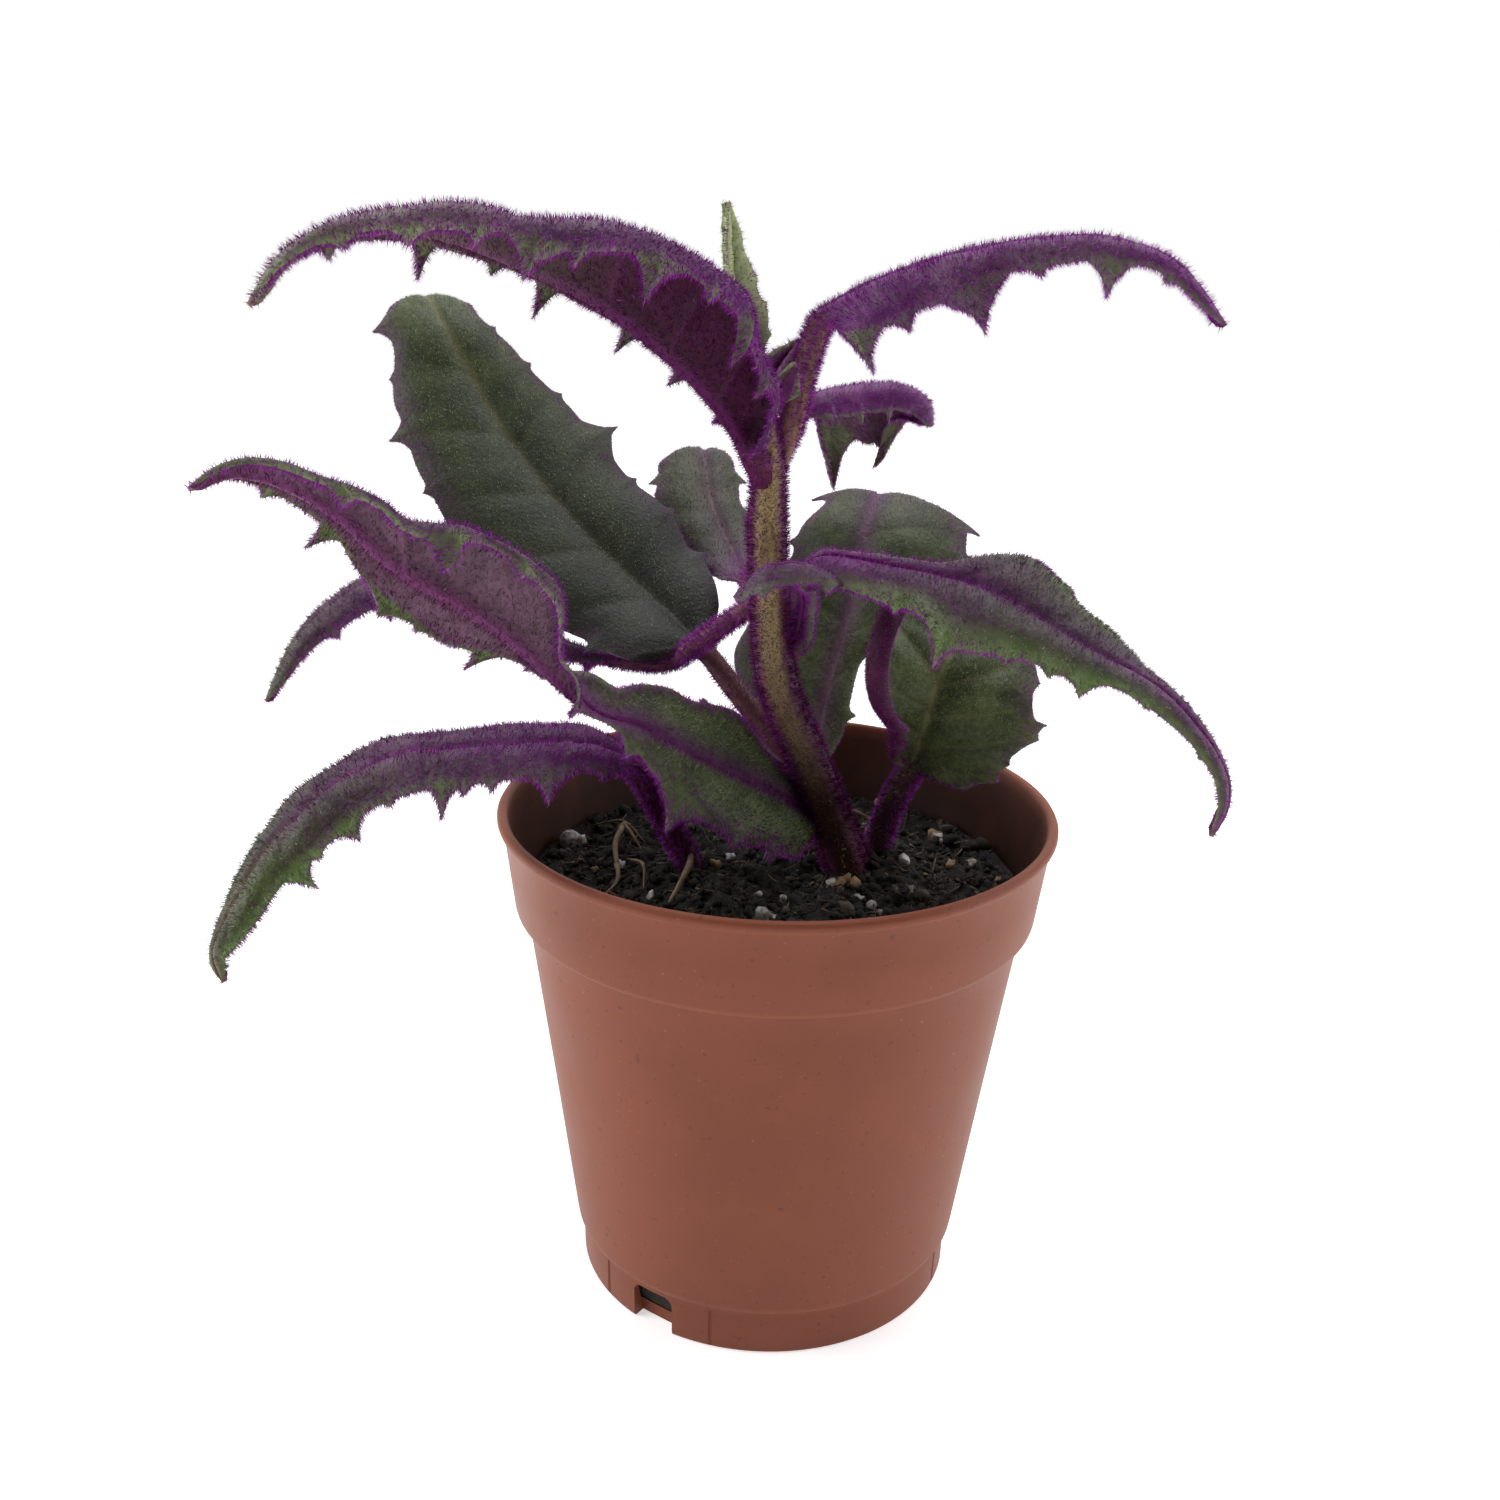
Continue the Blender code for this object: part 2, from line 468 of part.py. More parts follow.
def build_pot(where, tools):
    top = POT_HEIGHT
    profile = [(0, FLOOR)]
    profile += [(wall_radius(z), z) for z in (FLOOR, FOOT_BAND_HEIGHT, COLLAR_FOOT_HEIGHT - 1.2,
                                              COLLAR_FOOT_HEIGHT, top - 1.2)]
    profile += [(RIM_RADIUS - 1.2, top - 0.3), (RIM_RADIUS - 0.9, top), (RIM_RADIUS - 0.3, top),
                (RIM_RADIUS, top - 0.3),
                (RIM_RADIUS, top - 1.0), (COLLAR_TOP_RADIUS, top - 1.4),
                (COLLAR_FOOT_RADIUS, COLLAR_FOOT_HEIGHT + 0.4),
                (COLLAR_FOOT_RADIUS - 0.4, COLLAR_FOOT_HEIGHT), (BODY_TOP_RADIUS, COLLAR_FOOT_HEIGHT - 0.5),
                (BODY_FOOT_RADIUS, FOOT_BAND_HEIGHT), (FOOT_RADIUS + 0.2, FOOT_BAND_HEIGHT - 0.3),
                (FOOT_RADIUS, 0.0), (0, 0)]
    pot = turned(profile, "pot", where, "pot")
    # drainage notches: round-cornered gaps in the foot band that reach in over the edge of the floor
    for number in range(NOTCH_COUNT):
        angle = math.radians(NOTCH_FIRST_ANGLE + number * 360 / NOTCH_COUNT)
        form = bmesh.new()
        bmesh.ops.create_cube(form, size=1.0)
        bmesh.ops.scale(form, vec=(3.6 * MM, NOTCH_WIDTH * MM, 2 * NOTCH_HEIGHT * MM), verts=form.verts)
        upright = [edge for edge in form.edges if abs(edge.verts[0].co.x - edge.verts[1].co.x) > MM]
        bmesh.ops.bevel(form, geom=upright, offset=1.0 * MM, segments=3, profile=0.5, affect="EDGES")
        bmesh.ops.translate(form, vec=(FOOT_RADIUS * MM, 0, 0), verts=form.verts)
        cutter = finish(form, "notch_%d" % number, tools, None)
        cutter.data.transform(turn_about_z(angle))
        # shallow upright creases, one on each side of the notch
        for side in (-1, 1):
            form = bmesh.new()
            bmesh.ops.create_cone(form, cap_ends=True, segments=8, radius1=FLUTE_RADIUS * MM,
                                  radius2=FLUTE_RADIUS * MM,
                                  depth=2 * (FOOT_BAND_HEIGHT - 1.0) * MM)
            bmesh.ops.translate(form, vec=((FOOT_RADIUS + 0.12) * MM, 0, 0), verts=form.verts)
            cutter = finish(form, "crease_%d_%d" % (number, side), tools, None)
            cutter.data.transform(turn_about_z(angle + side * math.radians(FLUTE_OFFSET_ANGLE)))
    return boolean(pot, "DIFFERENCE", tools)


def turn_about_z(angle):
    return Matrix.Rotation(angle, 4, "Z")


def build_soil(where, tools):
    profile = [(0, SOIL_EDGE_HEIGHT + SOIL_RISE)]
    for radius in (5.0, 10.0, 15.0, 20.0, 24.0):
        profile.append((radius, SOIL_EDGE_HEIGHT + SOIL_RISE * math.cos(math.pi / 2 * radius / 27.0)))
    edge = (SOIL_EDGE_HEIGHT, COLLAR_FOOT_HEIGHT, COLLAR_FOOT_HEIGHT - 1.2, FOOT_BAND_HEIGHT, FLOOR + GAP)
    profile += [(wall_radius(z) - 1.5 * GAP, z) for z in edge]
    profile.append((0, FLOOR + GAP))
    soil = turned(profile, "soil", where, "soil")
    for vert in soil.data.vertices:
        spot = vert.co / MM
        if spot.z > SOIL_EDGE_HEIGHT + 0.1:
            vert.co.z += 0.35 * MM * math.sin(0.45 * spot.x + 0.8) * math.cos(0.5 * spot.y - 0.4)
    # plain holes for what stands in the soil
    feet = [(STEM[:3], STEM_RADII[0]), (LEAVES["leaf_right_front"]["route"][:3],
                                        LEAVES["leaf_right_front"]["stalk"][0]),
            (LEAVES["leaf_low_left"]["route"][:3], LEAVES["leaf_low_left"]["stalk"][0])]
    for number, (points, radius) in enumerate(feet):
        first, second = Vector(points[0]), Vector(points[1])
        foot = first + (first - second).normalized() * GAP
        top = second + (Vector(points[2]) - second).normalized() * 4.0
        tube([foot, second, top], [radius + GAP] * 3, 7, "hole_%d" % number, tools, None, smooth=True)
    return boolean(soil, "DIFFERENCE", tools)


def build_stem(where, tools):
    stem = tube(STEM, STEM_RADII, 22, "main_stem", where, "main_stem")
    for number, bud in enumerate(BUD_LEAVES):
        finish(loft(leaf_sections(bud, (0.0, 0.5, 1.0))), "bud_%d" % number, tools, None)
    return boolean(stem, "UNION", tools)


def build_leaf(name, leaf, where, tools):
    late_roll = leaf["hook"] > 2
    across = (0.0, 0.18, 0.55, 0.78, 0.9, 1.0) if late_roll else (0.0, 0.2, 0.6, 1.0)
    made = finish(loft(leaf_sections(leaf, across)), name, where, "leaf")
    if name == "leaf_right_long":
        finish(loft(leaf_sections(LOBE, (0.0, 0.5, 1.0))), "lobe", tools, None)
        boolean(made, "UNION", tools)
    return made


def main():
    for old in list(bpy.data.objects):
        bpy.data.objects.remove(old)
    plant = bpy.data.collections.new("potted_purple_passion_plant")
    tools = bpy.data.collections.new("cutters")
    tools.hide_render = True
    bpy.context.scene.collection.children.link(plant)
    bpy.context.scene.collection.children.link(tools)
    build_pot(plant, tools)
    build_soil(plant, tools)
    build_stem(plant, tools)
    for name, leaf in LEAVES.items():
        build_leaf(name, leaf, plant, tools)


main()
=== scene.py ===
"""A young purple passion plant in a small plastic nursery pot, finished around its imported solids."""

import json
import math

import bmesh
import bpy
import numpy as np
from mathutils import Matrix, Vector, noise

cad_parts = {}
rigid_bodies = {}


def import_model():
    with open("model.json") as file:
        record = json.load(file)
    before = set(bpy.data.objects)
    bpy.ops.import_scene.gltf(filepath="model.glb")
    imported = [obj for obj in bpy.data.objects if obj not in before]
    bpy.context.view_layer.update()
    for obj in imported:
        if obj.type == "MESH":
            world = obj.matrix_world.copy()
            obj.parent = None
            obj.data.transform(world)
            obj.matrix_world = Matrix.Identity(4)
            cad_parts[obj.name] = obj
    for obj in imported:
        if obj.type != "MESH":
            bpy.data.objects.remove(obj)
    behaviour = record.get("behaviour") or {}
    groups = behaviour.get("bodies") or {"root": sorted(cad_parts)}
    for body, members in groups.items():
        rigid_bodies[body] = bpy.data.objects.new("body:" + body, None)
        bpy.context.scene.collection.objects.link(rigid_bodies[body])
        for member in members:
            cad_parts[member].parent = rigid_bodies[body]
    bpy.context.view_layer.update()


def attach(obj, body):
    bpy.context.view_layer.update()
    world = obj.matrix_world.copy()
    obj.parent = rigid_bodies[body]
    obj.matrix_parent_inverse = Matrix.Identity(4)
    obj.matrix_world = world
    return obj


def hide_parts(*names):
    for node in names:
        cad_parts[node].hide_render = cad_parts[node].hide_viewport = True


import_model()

# The plant's sizes are in millimetres, and become metres where they enter a mesh.
MM = 0.001

# The camera stands close to the plant, a little above its top, and looks down at it. Its wide lens gives the
# photograph's strong perspective. Its place is in metres and its angles are in radians.
CAMERA_PLACE = (0.0, -0.164, 0.1195)
CAMERA_DOWN, CAMERA_TURN, CAMERA_ROLL = 0.3425, -0.0191, 0.0272
SENSOR_WIDTH, FOCAL_LENGTH = 36.0, 39.12
level = Vector((math.cos(CAMERA_TURN), -math.sin(CAMERA_TURN), 0.0))
ahead = Vector((math.sin(CAMERA_TURN) * math.cos(CAMERA_DOWN),
                math.cos(CAMERA_TURN) * math.cos(CAMERA_DOWN), -math.sin(CAMERA_DOWN)))
above = level.cross(ahead)
across = math.cos(CAMERA_ROLL) * level + math.sin(CAMERA_ROLL) * above
above = math.cos(CAMERA_ROLL) * above - math.sin(CAMERA_ROLL) * level
lens = bpy.data.cameras.new("camera")
lens.sensor_width = SENSOR_WIDTH
lens.lens = FOCAL_LENGTH
lens.clip_start = 0.01
camera = bpy.data.objects.new("camera", lens)
bpy.context.scene.collection.objects.link(camera)
camera.matrix_world = Matrix.Translation(CAMERA_PLACE) @ Matrix((across, above, -ahead)).transposed().to_4x4()
bpy.context.scene.camera = camera
bpy.context.scene.view_settings.view_transform = "Standard"
bpy.context.scene.view_settings.look = "None"


# The floor is a pale matt studio sheet, so wide that its edge doesn't show. The white sky is bright beyond
# the plant and dim behind the camera. A soft lamp stands at the left, a weaker one at the right, and a third
# hangs above and behind.
def into_scene(form, name, smooth_angle=40.0):
    """A mesh object of this form, with soft shading up to an angle in degrees."""
    mesh = bpy.data.meshes.new(name)
    form.to_mesh(mesh)
    form.free()
    made = bpy.data.objects.new(name, mesh)
    bpy.context.scene.collection.objects.link(made)
    mesh.shade_smooth()
    mesh.set_sharp_from_angle(angle=math.radians(smooth_angle))
    return made


form = bmesh.new()
bmesh.ops.create_circle(form, cap_ends=True, segments=96, radius=6.0)
floor = into_scene(form, "floor")
paper = bpy.data.materials.new("pale_paper")
paper.use_nodes = True
for key, value in (("Base Color", (0.9, 0.9, 0.9, 1.0)), ("Roughness", 0.9),
                   ("Emission Color", (1.0, 1.0, 1.0, 1.0)), ("Emission Strength", 0.58)):
    paper.node_tree.nodes["Principled BSDF"].inputs[key].default_value = value
floor.data.materials.append(paper)

sky = bpy.data.worlds.new("studio")
sky.use_nodes = True
tree = sky.node_tree
direction = tree.nodes.new("ShaderNodeTexCoord")
part = tree.nodes.new("ShaderNodeSeparateXYZ")
painted_shading = tree.nodes.new("ShaderNodeMapRange")
tree.links.new(direction.outputs["Generated"], part.inputs[0])
tree.links.new(part.outputs["Y"], painted_shading.inputs["Value"])
for key, value in (("From Min", -0.1), ("From Max", 0.45), ("To Min", 0.07), ("To Max", 1.05)):
    painted_shading.inputs[key].default_value = value
tree.links.new(painted_shading.outputs["Result"], tree.nodes["Background"].inputs["Strength"])
tree.nodes["Background"].inputs["Color"].default_value = (1.0, 1.0, 1.0, 1.0)
bpy.context.scene.world = sky

LAMPS_FACE = Vector((0.0, 0.0, 0.07))
for name, place, size, power in (("lamp_left", (-0.5, -0.05, 0.35), 0.35, 2.3),
                                 ("lamp_right", (0.5, 0.0, 0.32), 0.3, 1.3),
                                 ("lamp_above", (0.05, 0.15, 0.6), 0.4, 1.8)):
    lamp = bpy.data.lights.new(name, "AREA")
    lamp.size = size
    lamp.energy = power
    stand = bpy.data.objects.new(name, lamp)
    bpy.context.scene.collection.objects.link(stand)
    turn = (LAMPS_FACE - Vector(place)).to_track_quat("-Z", "Y").to_matrix().to_4x4()
    stand.matrix_world = Matrix.Translation(place) @ turn

# The pot is one thin moulding of recycled terracotta-coloured plastic: a rounded lip, a flared collar with
# a step below it, a plain tapered body, and a foot band with drainage notches and upright creases.
FOOT_RADIUS, FOOT_BAND = 21.1, 5.5
NOTCH_ANGLES = (-124.0, -4.0, 116.0)
NOTCH_DEPTH, NOTCH_WIDTH, NOTCH_HEIGHT, NOTCH_CORNER = 3.4, 5.2, 4.6, 1.1
CREASE_OFFSET, CREASE_OUT, CREASE_LENGTH, CREASE_RADII = 19.5, 0.22, 9.4, (0.45, 0.3)
POT_STEPS, POT_SMOOTH = 192, 38


def spun(profile, steps):
    """A closed turned form from (radius, height) points that run from the axis out and back to it."""
    form = bmesh.new()
    spots = [form.verts.new((radius * MM, 0.0, height * MM)) for radius, height in profile]
    edges = [form.edges.new(pair) for pair in zip(spots, spots[1:])]
    bmesh.ops.spin(form, geom=spots + edges, cent=(0, 0, 0), axis=(0, 0, 1), angle=2 * math.pi, steps=steps,
                   use_merge=True)
    bmesh.ops.remove_doubles(form, verts=form.verts, dist=1e-6)
    bmesh.ops.recalc_face_normals(form, faces=form.faces)
    return form


pot_profile = [
    # the floor and the inner wall
    (0, 1.4), (19.4, 1.4), (19.9, 1.7), (20.1, 2.2), (20.9, FOOT_BAND), (25.9, 43.0), (26.2, 43.6),
    (27.2, 44.3), (27.35, 45.0), (28.45, 53.4), (28.8, 54.5),
    # the rounded lip
    (28.95, 54.85), (29.2, 55.0), (29.6, 55.0), (29.85, 54.9), (30.0, 54.65), (30.0, 54.3), (29.9, 54.05),
    # the collar and the step below it
    (29.55, 53.85), (29.38, 53.5), (28.95, 50.0), (28.32, 44.9), (28.2, 44.5), (27.95, 44.25), (27.35, 44.1),
    (27.1, 43.95), (26.98, 43.6),
    # the tapered body, the foot band and the underside
    (26.5, 40.0), (24.3, 24.0), (21.95, 6.4), (21.86, 5.9), (21.7, 5.6), (21.35, 5.4), (21.22, 5.1),
    (21.18, 4.5), (FOOT_RADIUS, 0.4), (20.98, 0.1), (20.7, 0.0), (0, 0)]
pot = into_scene(spun(pot_profile, POT_STEPS), "pot_moulding")
cutters = bpy.data.collections.new("pot_cutters")
bpy.context.scene.collection.children.link(cutters)


def into_cutters(form, angle, name):
    """Turns a cutter about the pot's axis by an angle in degrees, and puts it with the others."""
    turn = Matrix.Rotation(math.radians(angle), 3, "Z")
    bmesh.ops.rotate(form, cent=(0, 0, 0), matrix=turn, verts=form.verts)
    cutter = into_scene(form, name)
    bpy.context.scene.collection.objects.unlink(cutter)
    cutters.objects.link(cutter)


for number, angle in enumerate(NOTCH_ANGLES):
    form = bmesh.new()
    bmesh.ops.create_cube(form, size=1.0)
    bmesh.ops.scale(form, vec=(NOTCH_DEPTH * MM, NOTCH_WIDTH * MM, 2 * NOTCH_HEIGHT * MM), verts=form.verts)
    corners = [edge for edge in form.edges if abs(edge.verts[0].co.x - edge.verts[1].co.x) > MM]
    bmesh.ops.bevel(form, geom=corners, offset=NOTCH_CORNER * MM, segments=6, profile=0.5, affect="EDGES",
                    material=-1)
    bmesh.ops.translate(form, vec=(FOOT_RADIUS * MM, 0, 0), verts=form.verts)
    into_cutters(form, angle, "notch_cutter_%d" % number)
    for side in (-1, 1):
        form = bmesh.new()
        bmesh.ops.create_cone(form, cap_ends=True, segments=16, radius1=CREASE_RADII[0] * MM,
                              radius2=CREASE_RADII[1] * MM, depth=CREASE_LENGTH * MM)
        bmesh.ops.translate(form, vec=((FOOT_RADIUS + CREASE_OUT) * MM, 0, 0), verts=form.verts)
        into_cutters(form, angle + side * CREASE_OFFSET, "crease_cutter_%d_%d" % (number, side))


def settled(made):
    """Gives the object the mesh that its modifiers make, and takes them off."""
    bpy.context.view_layer.update()
    mesh = bpy.data.meshes.new_from_object(made.evaluated_get(bpy.context.evaluated_depsgraph_get()))
    made.modifiers.clear()
    made.data = mesh
    mesh.name = made.name
    return mesh


cut = pot.modifiers.new("notches", "BOOLEAN")
cut.operation = "DIFFERENCE"
cut.operand_type = "COLLECTION"
cut.collection = cutters
cut.solver = "EXACT"
settled(pot)
for cutter in list(cutters.objects):
    bpy.data.objects.remove(cutter)
bpy.data.collections.remove(cutters)
pot.data.shade_smooth()
pot.data.set_sharp_from_angle(angle=math.radians(POT_SMOOTH))
# the inner wall gets painted shade: the attribute is 1 there, fades towards the lip, and is 0 elsewhere
points = np.array([vert.co for vert in pot.data.vertices]) / MM
radius, height = np.hypot(points[:, 0], points[:, 1]), points[:, 2]
inside = np.clip((29.2 - radius) / 0.3, 0, 1) * np.clip((55.5 - height) / 3, 0, 1) * (height > 44)
inside = inside * (radius < np.interp(height, [43.5, 44.2, 53.5, 55], [26.6, 27.9, 29.0, 29.3]))
pot.data.attributes.new("inside", "FLOAT", "POINT").data.foreach_set("value", inside.astype(np.float32))


class Nodes:
    """A short hand for building the node tree of one material or group."""

    def __init__(self, tree, shader=None):
        self.tree = tree
        self.shader = shader

    def put(self, node, key, value):
        """Links an input or sets its value, where a colour is given as red, green and blue."""
        if isinstance(value, bpy.types.NodeSocket):
            self.tree.links.new(value, node.inputs[key])
        else:
            node.inputs[key].default_value = (*value, 1.0) if isinstance(value, tuple) else value

    def add(self, kind, values=None, **settings):
        """One node with its settings, and its inputs by name or number."""
        node = self.tree.nodes.new(kind)
        for key, value in settings.items():
            setattr(node, key, value)
        for key, value in (values or {}).items():
            self.put(node, key, value)
        return node

    def mix(self, share, first, second, kind="MIX"):
        """The colour between two colours, by a share that may vary over the surface."""
        values = {0: share, 6: first, 7: second}
        return self.add("ShaderNodeMix", values, data_type="RGBA", blend_type=kind).outputs[2]

    def ramp(self, value, low, high, to_low=0.0, to_high=1.0):
        """The value from one range spread over another, held at its ends."""
        values = {"Value": value, "From Min": low, "From Max": high, "To Min": to_low, "To Max": to_high}
        return self.add("ShaderNodeMapRange", values, clamp=True).outputs["Result"]

    def maths(self, operation, *values):
        """The result of one step of arithmetic."""
        return self.add("ShaderNodeMath", dict(enumerate(values)), operation=operation).outputs[0]

    def attribute(self, name, output="Fac"):
        """A value that the piece's points carry."""
        return self.add("ShaderNodeAttribute", attribute_name=name).outputs[output]

    def noise(self, scale, detail, roughness=0.5):
        """Soft random patches through the piece, about this many to the metre."""
        where = self.add("ShaderNodeTexCoord").outputs["Object"]
        values = {"Vector": where, "Scale": scale, "Detail": detail, "Roughness": roughness}
        return self.add("ShaderNodeTexNoise", values).outputs["Fac"]

    def colour(self, tone):
        """Gives the shader its colour."""
        self.put(self.shader, "Base Color", tone)

    def bump(self, height, strength, distance):
        """Gives the shader a fine relief, whose distance is in metres."""
        relief = self.add("ShaderNodeBump", {"Height": height, "Strength": strength, "Distance": distance})
        self.put(self.shader, "Normal", relief.outputs["Normal"])


def new_material(name, **sockets):
    """A Principled material with plain values on its own sockets, and the short hand for its tree."""
    made = bpy.data.materials.new(name)
    made.use_nodes = True
    n = Nodes(made.node_tree, made.node_tree.nodes["Principled BSDF"])
    for key, value in sockets.items():
        n.put(n.shader, key.replace("_", " "), value)
    return made, n


plastic, n = new_material("terracotta_plastic", Specular_IOR_Level=0.2)
cloud = n.noise(90.0, 4.0)
fleck = n.noise(1500.0, 2.0)
inside = n.attribute("inside")
tone = n.mix(n.ramp(cloud, 0.35, 0.65), (0.196, 0.053, 0.0255), (0.22, 0.062, 0.0315))
tone = n.mix(n.ramp(fleck, 0.66, 0.74, 0.0, 0.6), tone, (0.1, 0.032, 0.022))
tone = n.mix(n.ramp(n.noise(2100.0, 1.0), 0.73, 0.8, 0.0, 0.3), tone, (0.38, 0.18, 0.12))
# painted shade on the inner wall, deepened to near black in soft patches
tone = n.mix(n.maths("MULTIPLY", inside, 0.5), tone, (0.09, 0.03, 0.018))
patchy_shade = n.ramp(n.noise(240.0, 5.0), 0.25, 0.6, 0.78, 0.97)
n.colour(n.mix(n.maths("MULTIPLY", inside, patchy_shade), tone, (0.022, 0.012, 0.01)))
n.put(n.shader, "Roughness", n.ramp(cloud, 0.3, 0.7, 0.46, 0.56))
n.bump(fleck, 0.15, 0.0001)
pot.data.materials.clear()
pot.data.materials.append(plastic)
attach(pot, "root")
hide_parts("pot")

# The soil is dark moist peat, gently mounded and crumbly, right up to the pot's wall and down to its floor.
# It is a turned body whose top is roughened; lumps, fibres and perlite lie on it as pieces of their own.
SOIL_EDGE, SOIL_RISE, MOUND_RADIUS = 46.2, 1.2, 27.0
SOIL_RADIUS, SOIL_RINGS, SOIL_STEPS = 26.85, 90, 220
# corners above this height are on the mound, and only they are roughened
TOP_ABOVE = 45.8


def mound(radius):
    """Height of the smooth mound at a distance from the pot's axis."""
    return SOIL_EDGE + SOIL_RISE * math.cos(math.pi / 2 * min(radius, MOUND_RADIUS) / MOUND_RADIUS)


def soil_height(x, y):
    """Height of the soil's top, with its lumps and hollows, which fade out at the wall."""
    radius = math.hypot(x, y)
    edge = min(1.0, max(0.0, (27.4 - radius) / 3.0))
    spot = Vector((x, y, 3.0))
    lumps = noise.fractal(spot * 0.16, 1.0, 2.0, 3) * 1.3
    crumbs = noise.fractal(spot * 0.75, 0.9, 2.1, 4) * 0.75
    return mound(radius) + edge * (lumps + crumbs) - 0.2


soil_rings = [SOIL_RADIUS * (i / SOIL_RINGS) for i in range(SOIL_RINGS + 1)]
soil_profile = [(radius, mound(radius)) for radius in soil_rings]
soil_profile += [(26.9, 44.4), (25.5, 43.0), (20.4, FOOT_BAND), (19.6, 1.8), (0, 1.8)]
form = spun(soil_profile, SOIL_STEPS)
for vert in form.verts:
    x, y, z = vert.co / MM
    if z > TOP_ABOVE:
        vert.co.z = soil_height(x, y) * MM
soil = into_scene(form, "soil_bed", 180.0)
peat, n = new_material("moist_peat", Roughness=0.85, Specular_IOR_Level=0.35)
fine = n.noise(2400.0, 5.0, 0.75)
tone = n.mix(n.ramp(n.noise(420.0, 6.0, 0.7), 0.4, 0.68), (0.009, 0.0095, 0.009), (0.036, 0.03, 0.022))
n.colour(n.mix(n.ramp(fine, 0.62, 0.74, 0.0, 0.5), tone, (0.09, 0.06, 0.038)))
n.bump(fine, 0.9, 0.0004)
soil.data.materials.append(peat)
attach(soil, "root")
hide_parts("soil")

# Lumps of peat from dust to pea-grit size lie all over the soil, each a rough dark crumb that sits into it.
# One crumb is copied many times, and each copy gets its own place, size, stretch and turn.
CRUMBS, BROWN_CRUMBS = 3600, 0.13
WALL_INSIDE = 27.2


def unit(ways):
    """The ways at a length of 1."""
    return ways / np.maximum(np.linalg.norm(ways, axis=-1, keepdims=True), 1e-9)


def turns_of(ways, spin):
    """Three square axes for each way, the way itself last, turned about it by an angle in radians."""
    ways = unit(ways)
    helper = np.where(np.abs(ways[:, 2:]) < 0.9, [[0.0, 0.0, 1.0]], [[1.0, 0.0, 0.0]])
    first = unit(np.cross(helper, ways))
    second = np.cross(ways, first)
    turned = first * np.cos(spin)[:, None] + second * np.sin(spin)[:, None]
    return np.stack([turned, np.cross(ways, turned), ways], 1)


def any_turns(rng, count):
    """Axes for count copies that lie every way."""
    return turns_of(rng.normal(0, 1, (count, 3)), rng.uniform(0, 6.3, count))


def copies(form, count, name):
    """count copies of a small form in one mesh object, and the form's own points."""
    one = into_scene(form, name, 180.0)
    own = np.array([vert.co for vert in one.data.vertices]) / MM
    repeat = one.modifiers.new("copies", "ARRAY")
    repeat.count = count
    repeat.use_relative_offset = False
    settled(one).shade_smooth()
    return one, own


def place_copies(made, own, places, axes, sizes):
    """Moves every copy to its place, on its own axes and with its own three sizes."""
    points = np.einsum("pa,na,nab->npb", own, sizes, axes) + places[:, None, :]
    made.data.vertices.foreach_set("co", (points * MM).ravel())
    made.data.update()


def give_slots(made, materials, choice):
    """Gives every copy one of the materials."""
    for material in materials:
        made.data.materials.append(material)
    faces_each = len(made.data.polygons) // len(choice)
    made.data.polygons.foreach_set("material_index", np.repeat(choice, faces_each).astype(np.int32))
    made.data.update()


def lump(subdivisions, roughness, seed):
    """One rough lump of about 1 mm radius."""
    form = bmesh.new()
    bmesh.ops.create_icosphere(form, subdivisions=subdivisions, radius=1.0 * MM)
    for vert in form.verts:
        way = vert.co / MM
        vert.co *= 1.0 + roughness * noise.noise(way * 1.3 + Vector((seed, 0.0, 0.0)))
    return form


def on_soil(rng, count, outer=26.6):
    """Places on the soil's top, spread evenly up to a distance from its middle."""
    radius = np.sqrt(rng.uniform(0.0, outer * outer, count))
    angle = rng.uniform(0, 2 * math.pi, count)
    x, y = radius * np.cos(angle), radius * np.sin(angle)
    return np.stack([x, y, [soil_height(a, b) for a, b in zip(x, y)]], 1)


def off_wall(places, sizes, share):
    """Draws each copy back from the pot's wall until a share of its largest size clears it."""
    reach = np.hypot(places[:, 0], places[:, 1]) + sizes.max(1) * share
    places[:, :2] *= np.minimum(1.0, WALL_INSIDE / reach)[:, None]


def mottled(name, scale, detail, high, first, second, roughness):
    """A matt material whose colour wanders between two in patches."""
    made, n = new_material(name, Roughness=roughness)
    n.colour(n.mix(n.ramp(n.noise(scale, detail), 0.35, high), first, second))
    return made


peat_brown = mottled("peat_brown", 1500.0, 4.0, 0.7, (0.024, 0.019, 0.014), (0.088, 0.066, 0.046), 0.9)
rng = np.random.default_rng(11)
crumbs, own = copies(lump(1, 0.7, 3.0), CRUMBS, "soil_crumbs")
places = on_soil(rng, CRUMBS)
sizes = rng.gamma(2.0, 0.11, (CRUMBS, 1)) * rng.uniform(0.6, 1.3, (CRUMBS, 3)) + 0.1
sizes = np.minimum(sizes, 1.0)
places[:, 2] += sizes[:, 2] * 0.2
off_wall(places, sizes, 1.4)
place_copies(crumbs, own, places, any_turns(rng, CRUMBS), sizes)
give_slots(crumbs, [peat, peat_brown], rng.random(CRUMBS) < BROWN_CRUMBS)
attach(crumbs, "root")

# Perlite is white expanded rock in rough grains; the larger ones stand where the photograph shows them.
# A few yellowish bits of bark lie among them.
perlite_stone, n = new_material("perlite", Roughness=0.8)
n.colour(n.mix(n.ramp(n.noise(900.0, 4.0), 0.4, 0.65), (0.52, 0.5, 0.48), (0.2, 0.17, 0.15)))
where = n.add("ShaderNodeTexCoord").outputs["Object"]
n.bump(n.add("ShaderNodeTexVoronoi", {"Vector": where, "Scale": 1600.0}).outputs["Distance"], 0.6, 0.0003)
bark_bit = mottled("bark_bit", 700.0, 4.0, 0.7, (0.26, 0.17, 0.075), (0.09, 0.052, 0.024), 0.8)
